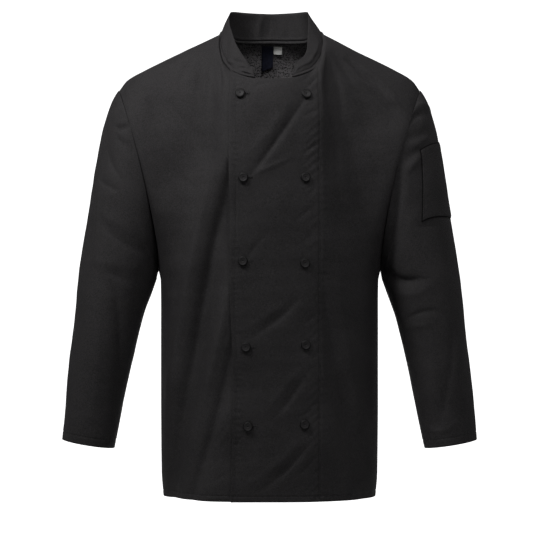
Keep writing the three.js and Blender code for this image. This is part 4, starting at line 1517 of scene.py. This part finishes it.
def lap_line(x):
    return stitch_row(front_face, (x, LAP_TOP_Z), (x, LAP_BOTTOM_Z), dice)


sewing("hem_stitches", hem_line(-131, -63) + hem_line(79, 143))
sewing("lap_stitches", lap_line(LAP_STITCH_X) + lap_line(FREE_EDGE_X + 8))

# %% Rows of stitches on the sleeves


def cuff_beads(side):
    def surface(angle, run):
        return sleeve_surface(side, run, angle)

    cuff_run = SLEEVE_LENGTH - CUFF_TURN
    return stitch_row(surface, (0, cuff_run), (360, cuff_run), dice)


def pocket_beads():
    def surface(over, down):
        at, normal = pocket_base(over, down)
        return at + normal * (POCKET_CLEAR + POCKET_CLOTH * 0.9), normal

    inset, hem = 0.027, 0.13
    lines = (
        ((inset, 0.01), (inset, 1 - inset)),
        ((inset, 1 - inset), (1 - inset, 1 - inset)),
        ((1 - inset, 1 - inset), (1 - inset, 0.01)),
        ((inset, hem), (1 - inset, hem)),
    )
    return sum((stitch_row(surface, start, end, dice) for start, end in lines), [])


sewing("pocket_stitches", pocket_beads())
sewing("cuff_stitches_left", cuff_beads(1))
sewing("cuff_stitches_right", cuff_beads(-1))

# %% [markdown]
# ## Buttonholes
# A buttonhole is edged with two rows of close bars, and a short bar crosses each end. The beads of the
# stitches serve again, shorter and side by side. The button covers most of it, so the hole's outer
# end is what shows beside each button of the first column.

# %% Buttonholes
HOLE_LENGTH = 16
HOLE_WIDE = 2.6
HOLE_BARS = 38
HOLE_SHIFT = 5.0
END_BARS = 6
BAR_LIFT = 0.1
BAR_AWAY = HOLE_WIDE / 3.4
UPWARD = np.array((0, 0, 1.0))
SIDEWAYS = np.array((1.0, 0, 0))


def bar(x, z, along, length, high):
    at, normal = (found[0] for found in front_face(x, z))
    return bead(at + normal * BAR_LIFT, along, normal, length, wide=0.5, high=high)


def buttonhole(x, z):
    beads = []
    for side in (-1, 1):
        for part in np.linspace(-0.5, 0.5, HOLE_BARS):
            beads.append(bar(x + part * HOLE_LENGTH, z + side * BAR_AWAY, UPWARD, HOLE_WIDE / 2, 0.45))
    for end in (-0.5, 0.5):
        for part in np.linspace(-0.5, 0.5, END_BARS):
            beads.append(bar(x + end * (HOLE_LENGTH + 1.4), z + part * HOLE_WIDE, SIDEWAYS, 1.8, 0.5))
    return beads


holes = [buttonhole(x + HOLE_SHIFT, z) for x, z in BUTTON_PLACES["a"]]
sewing("buttonholes", sum(holes, []))

# %% [markdown]
# ## Backdrop
# The picture's ground is pure white, yet the edges of the jacket are dark. White paper close behind it
# would light those edges, so the room stays dim and only a screen far behind the jacket glows. The
# floor runs up into the wall in one sweep, so that no corner shows in other views.

# %% Backdrop
FLOOR_Z = -1.52
WALL_Y = 5.6
WALL_TOP = 3.0
ROOM_FRONT = -5.0
ROOM_HALF = 6.0
SWEEP = 0.8
SWEEP_STEPS = 12
SCREEN_Y = 5.0
SCREEN_HALF = 1.4
SCREEN_TOP = 1.1
SCREEN_GLOW = 1.1
PAPER_TONES = (0.82, 0.82, 0.82, 1), (0.86, 0.86, 0.86, 1)


def paper(name, half, profile, glow):
    vertices = [(x, y, z) for y, z in profile for x in (-half, half)]
    faces = [[2 * i, 2 * i + 1, 2 * i + 3, 2 * i + 2] for i in range(len(profile) - 1)]
    sheet = new_object(name, vertices, faces, scale=1)
    look = {"Roughness": 0.9, "Emission Color": (1, 1, 1, 1), "Emission Strength": glow}
    material, place, feed = finish(name + "_paper", look)
    feed("Base Color", place.noise(3.0).above(0.2, 0.8).mix_colour(*PAPER_TONES))
    sheet.data.materials.append(material)
    print(name, "strips:", len(faces))


def wall_profile():
    profile = [(ROOM_FRONT, FLOOR_Z), (WALL_Y - SWEEP, FLOOR_Z)]
    for step in range(1, SWEEP_STEPS + 1):
        angle = step / SWEEP_STEPS * math.pi / 2
        out, up = math.sin(angle), 1 - math.cos(angle)
        profile.append((WALL_Y - SWEEP + SWEEP * out, FLOOR_Z + SWEEP * up))
    return profile + [(WALL_Y, WALL_TOP)]


paper("wall", ROOM_HALF, wall_profile(), glow=0.0)
paper("bright_screen", SCREEN_HALF, [(SCREEN_Y, FLOOR_Z + 0.02), (SCREEN_Y, SCREEN_TOP)], SCREEN_GLOW)

# %% [markdown]
# ## Light
# Creases show only when light rakes across them. The key lamp stands high on the left and close by,
# and is small enough to shade every fold. The others are weak: a second lamp from above, a wide fill
# in front, and lamps at the back and sides that matter in other views. The world adds a little grey.

# %% Lamps
LAMPS = {
    "key": ((-0.85, -0.7, 1.0), (0, 0, -0.2), 0.4, 20),
    "second": ((0.3, -1.0, 1.0), (0.05, 0, -0.15), 0.5, 8),
    "back": ((0.2, 3.0, 0.0), (0, 0, -0.4), 0.6, 26),
    "right_side": ((2.6, 0.0, 0.2), (0, 0, -0.4), 0.6, 5),
    "left_side": ((-2.6, 0.3, 0.2), (0, 0, -0.4), 0.6, 5),
    "fill": ((0.2, -2.6, 0.6), (0, 0, -0.3), 1.4, 2),
}
WORLD_STRENGTH = 0.07


def lamp(name, place, aim, size, power):
    data = bpy.data.lights.new(name, "AREA")
    data.shape = "DISK"
    data.size = size
    data.energy = power
    light = bpy.data.objects.new(name, data)
    light.location = place
    direction = np.array(aim, float) - np.array(place, float)
    tilt = math.acos(-direction[2] / np.linalg.norm(direction))
    light.rotation_euler = (tilt, 0, math.atan2(direction[1], direction[0]) - math.pi / 2)
    bpy.context.collection.objects.link(light)


for name, (place, aim, size, power) in LAMPS.items():
    lamp(name, place, aim, size, power)
world = bpy.data.worlds.new("studio")
world.use_nodes = True
sky = world.node_tree.nodes["Background"]
sky.inputs["Color"].default_value = (1, 1, 1, 1)
sky.inputs["Strength"].default_value = WORLD_STRENGTH
bpy.context.scene.world = world
bpy.context.scene.view_settings.view_transform = "Standard"
print("lamps:", sum(o.type == "LIGHT" for o in bpy.data.objects))

# %% [markdown]
# ## Say what stands for what
# Every piece rides on the one body and stands for its plain solid, which is hidden. Each sheet of
# cloth also says the size that it was cut to, measured on its own net.

PIECES = {
    "back_cloth": ("back", "mesh", knit),
    "left_front_cloth": ("left_front", "twill", twill),
    "right_front_cloth": ("right_front", "twill", twill),
    "sleeve_left_cloth": ("sleeve_left", "twill", twill),
    "sleeve_right_cloth": ("sleeve_right", "twill", twill),
    "collar_cloth": ("collar", "twill", twill),
    "sleeve_pocket_cloth": ("sleeve_pocket", "twill", twill),
    "neck_label_cloth": ("neck_label", "neck_label", navy),
    "size_label_cloth": ("size_label", "size_label", white),
}
HELD = {
    "sleeve_pocket_cloth": ("laid", ["sleeve_left_cloth"]),
    "neck_label_cloth": ("hung", ["back_cloth"]),
    "size_label_cloth": ("hung", ["back_cloth"]),
}
for name, piece in made.items():
    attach(piece, "root")
    if name in PIECES:
        node, slot, material = PIECES[name]
        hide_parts(node)
    elif name.startswith("turned_button"):
        slot, material = "button", resin
        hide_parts(name.replace("turned_", ""))
    else:
        slot, material = "twill", thread
    piece.data.materials.append(material)
    # Painted shade: the listed faces take the dark second finish.
    if name in painted_shade_faces:
        piece.data.materials.append(pocket_edge_painted_shade if name in PIECES else painted_button_shade)
        piece.data.polygons.foreach_set("material_index", painted_shade_faces[name].astype("int32"))
for name in PIECES:
    width, length, area = cuts[name]
    held, rests_on = HELD.get(name, ("draped", []))
    area = min(area, width * length)
    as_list(rests_on)
    print(name, "flat:", round(width, 3), "by", round(length, 3), "m, area:", round(area, 4))
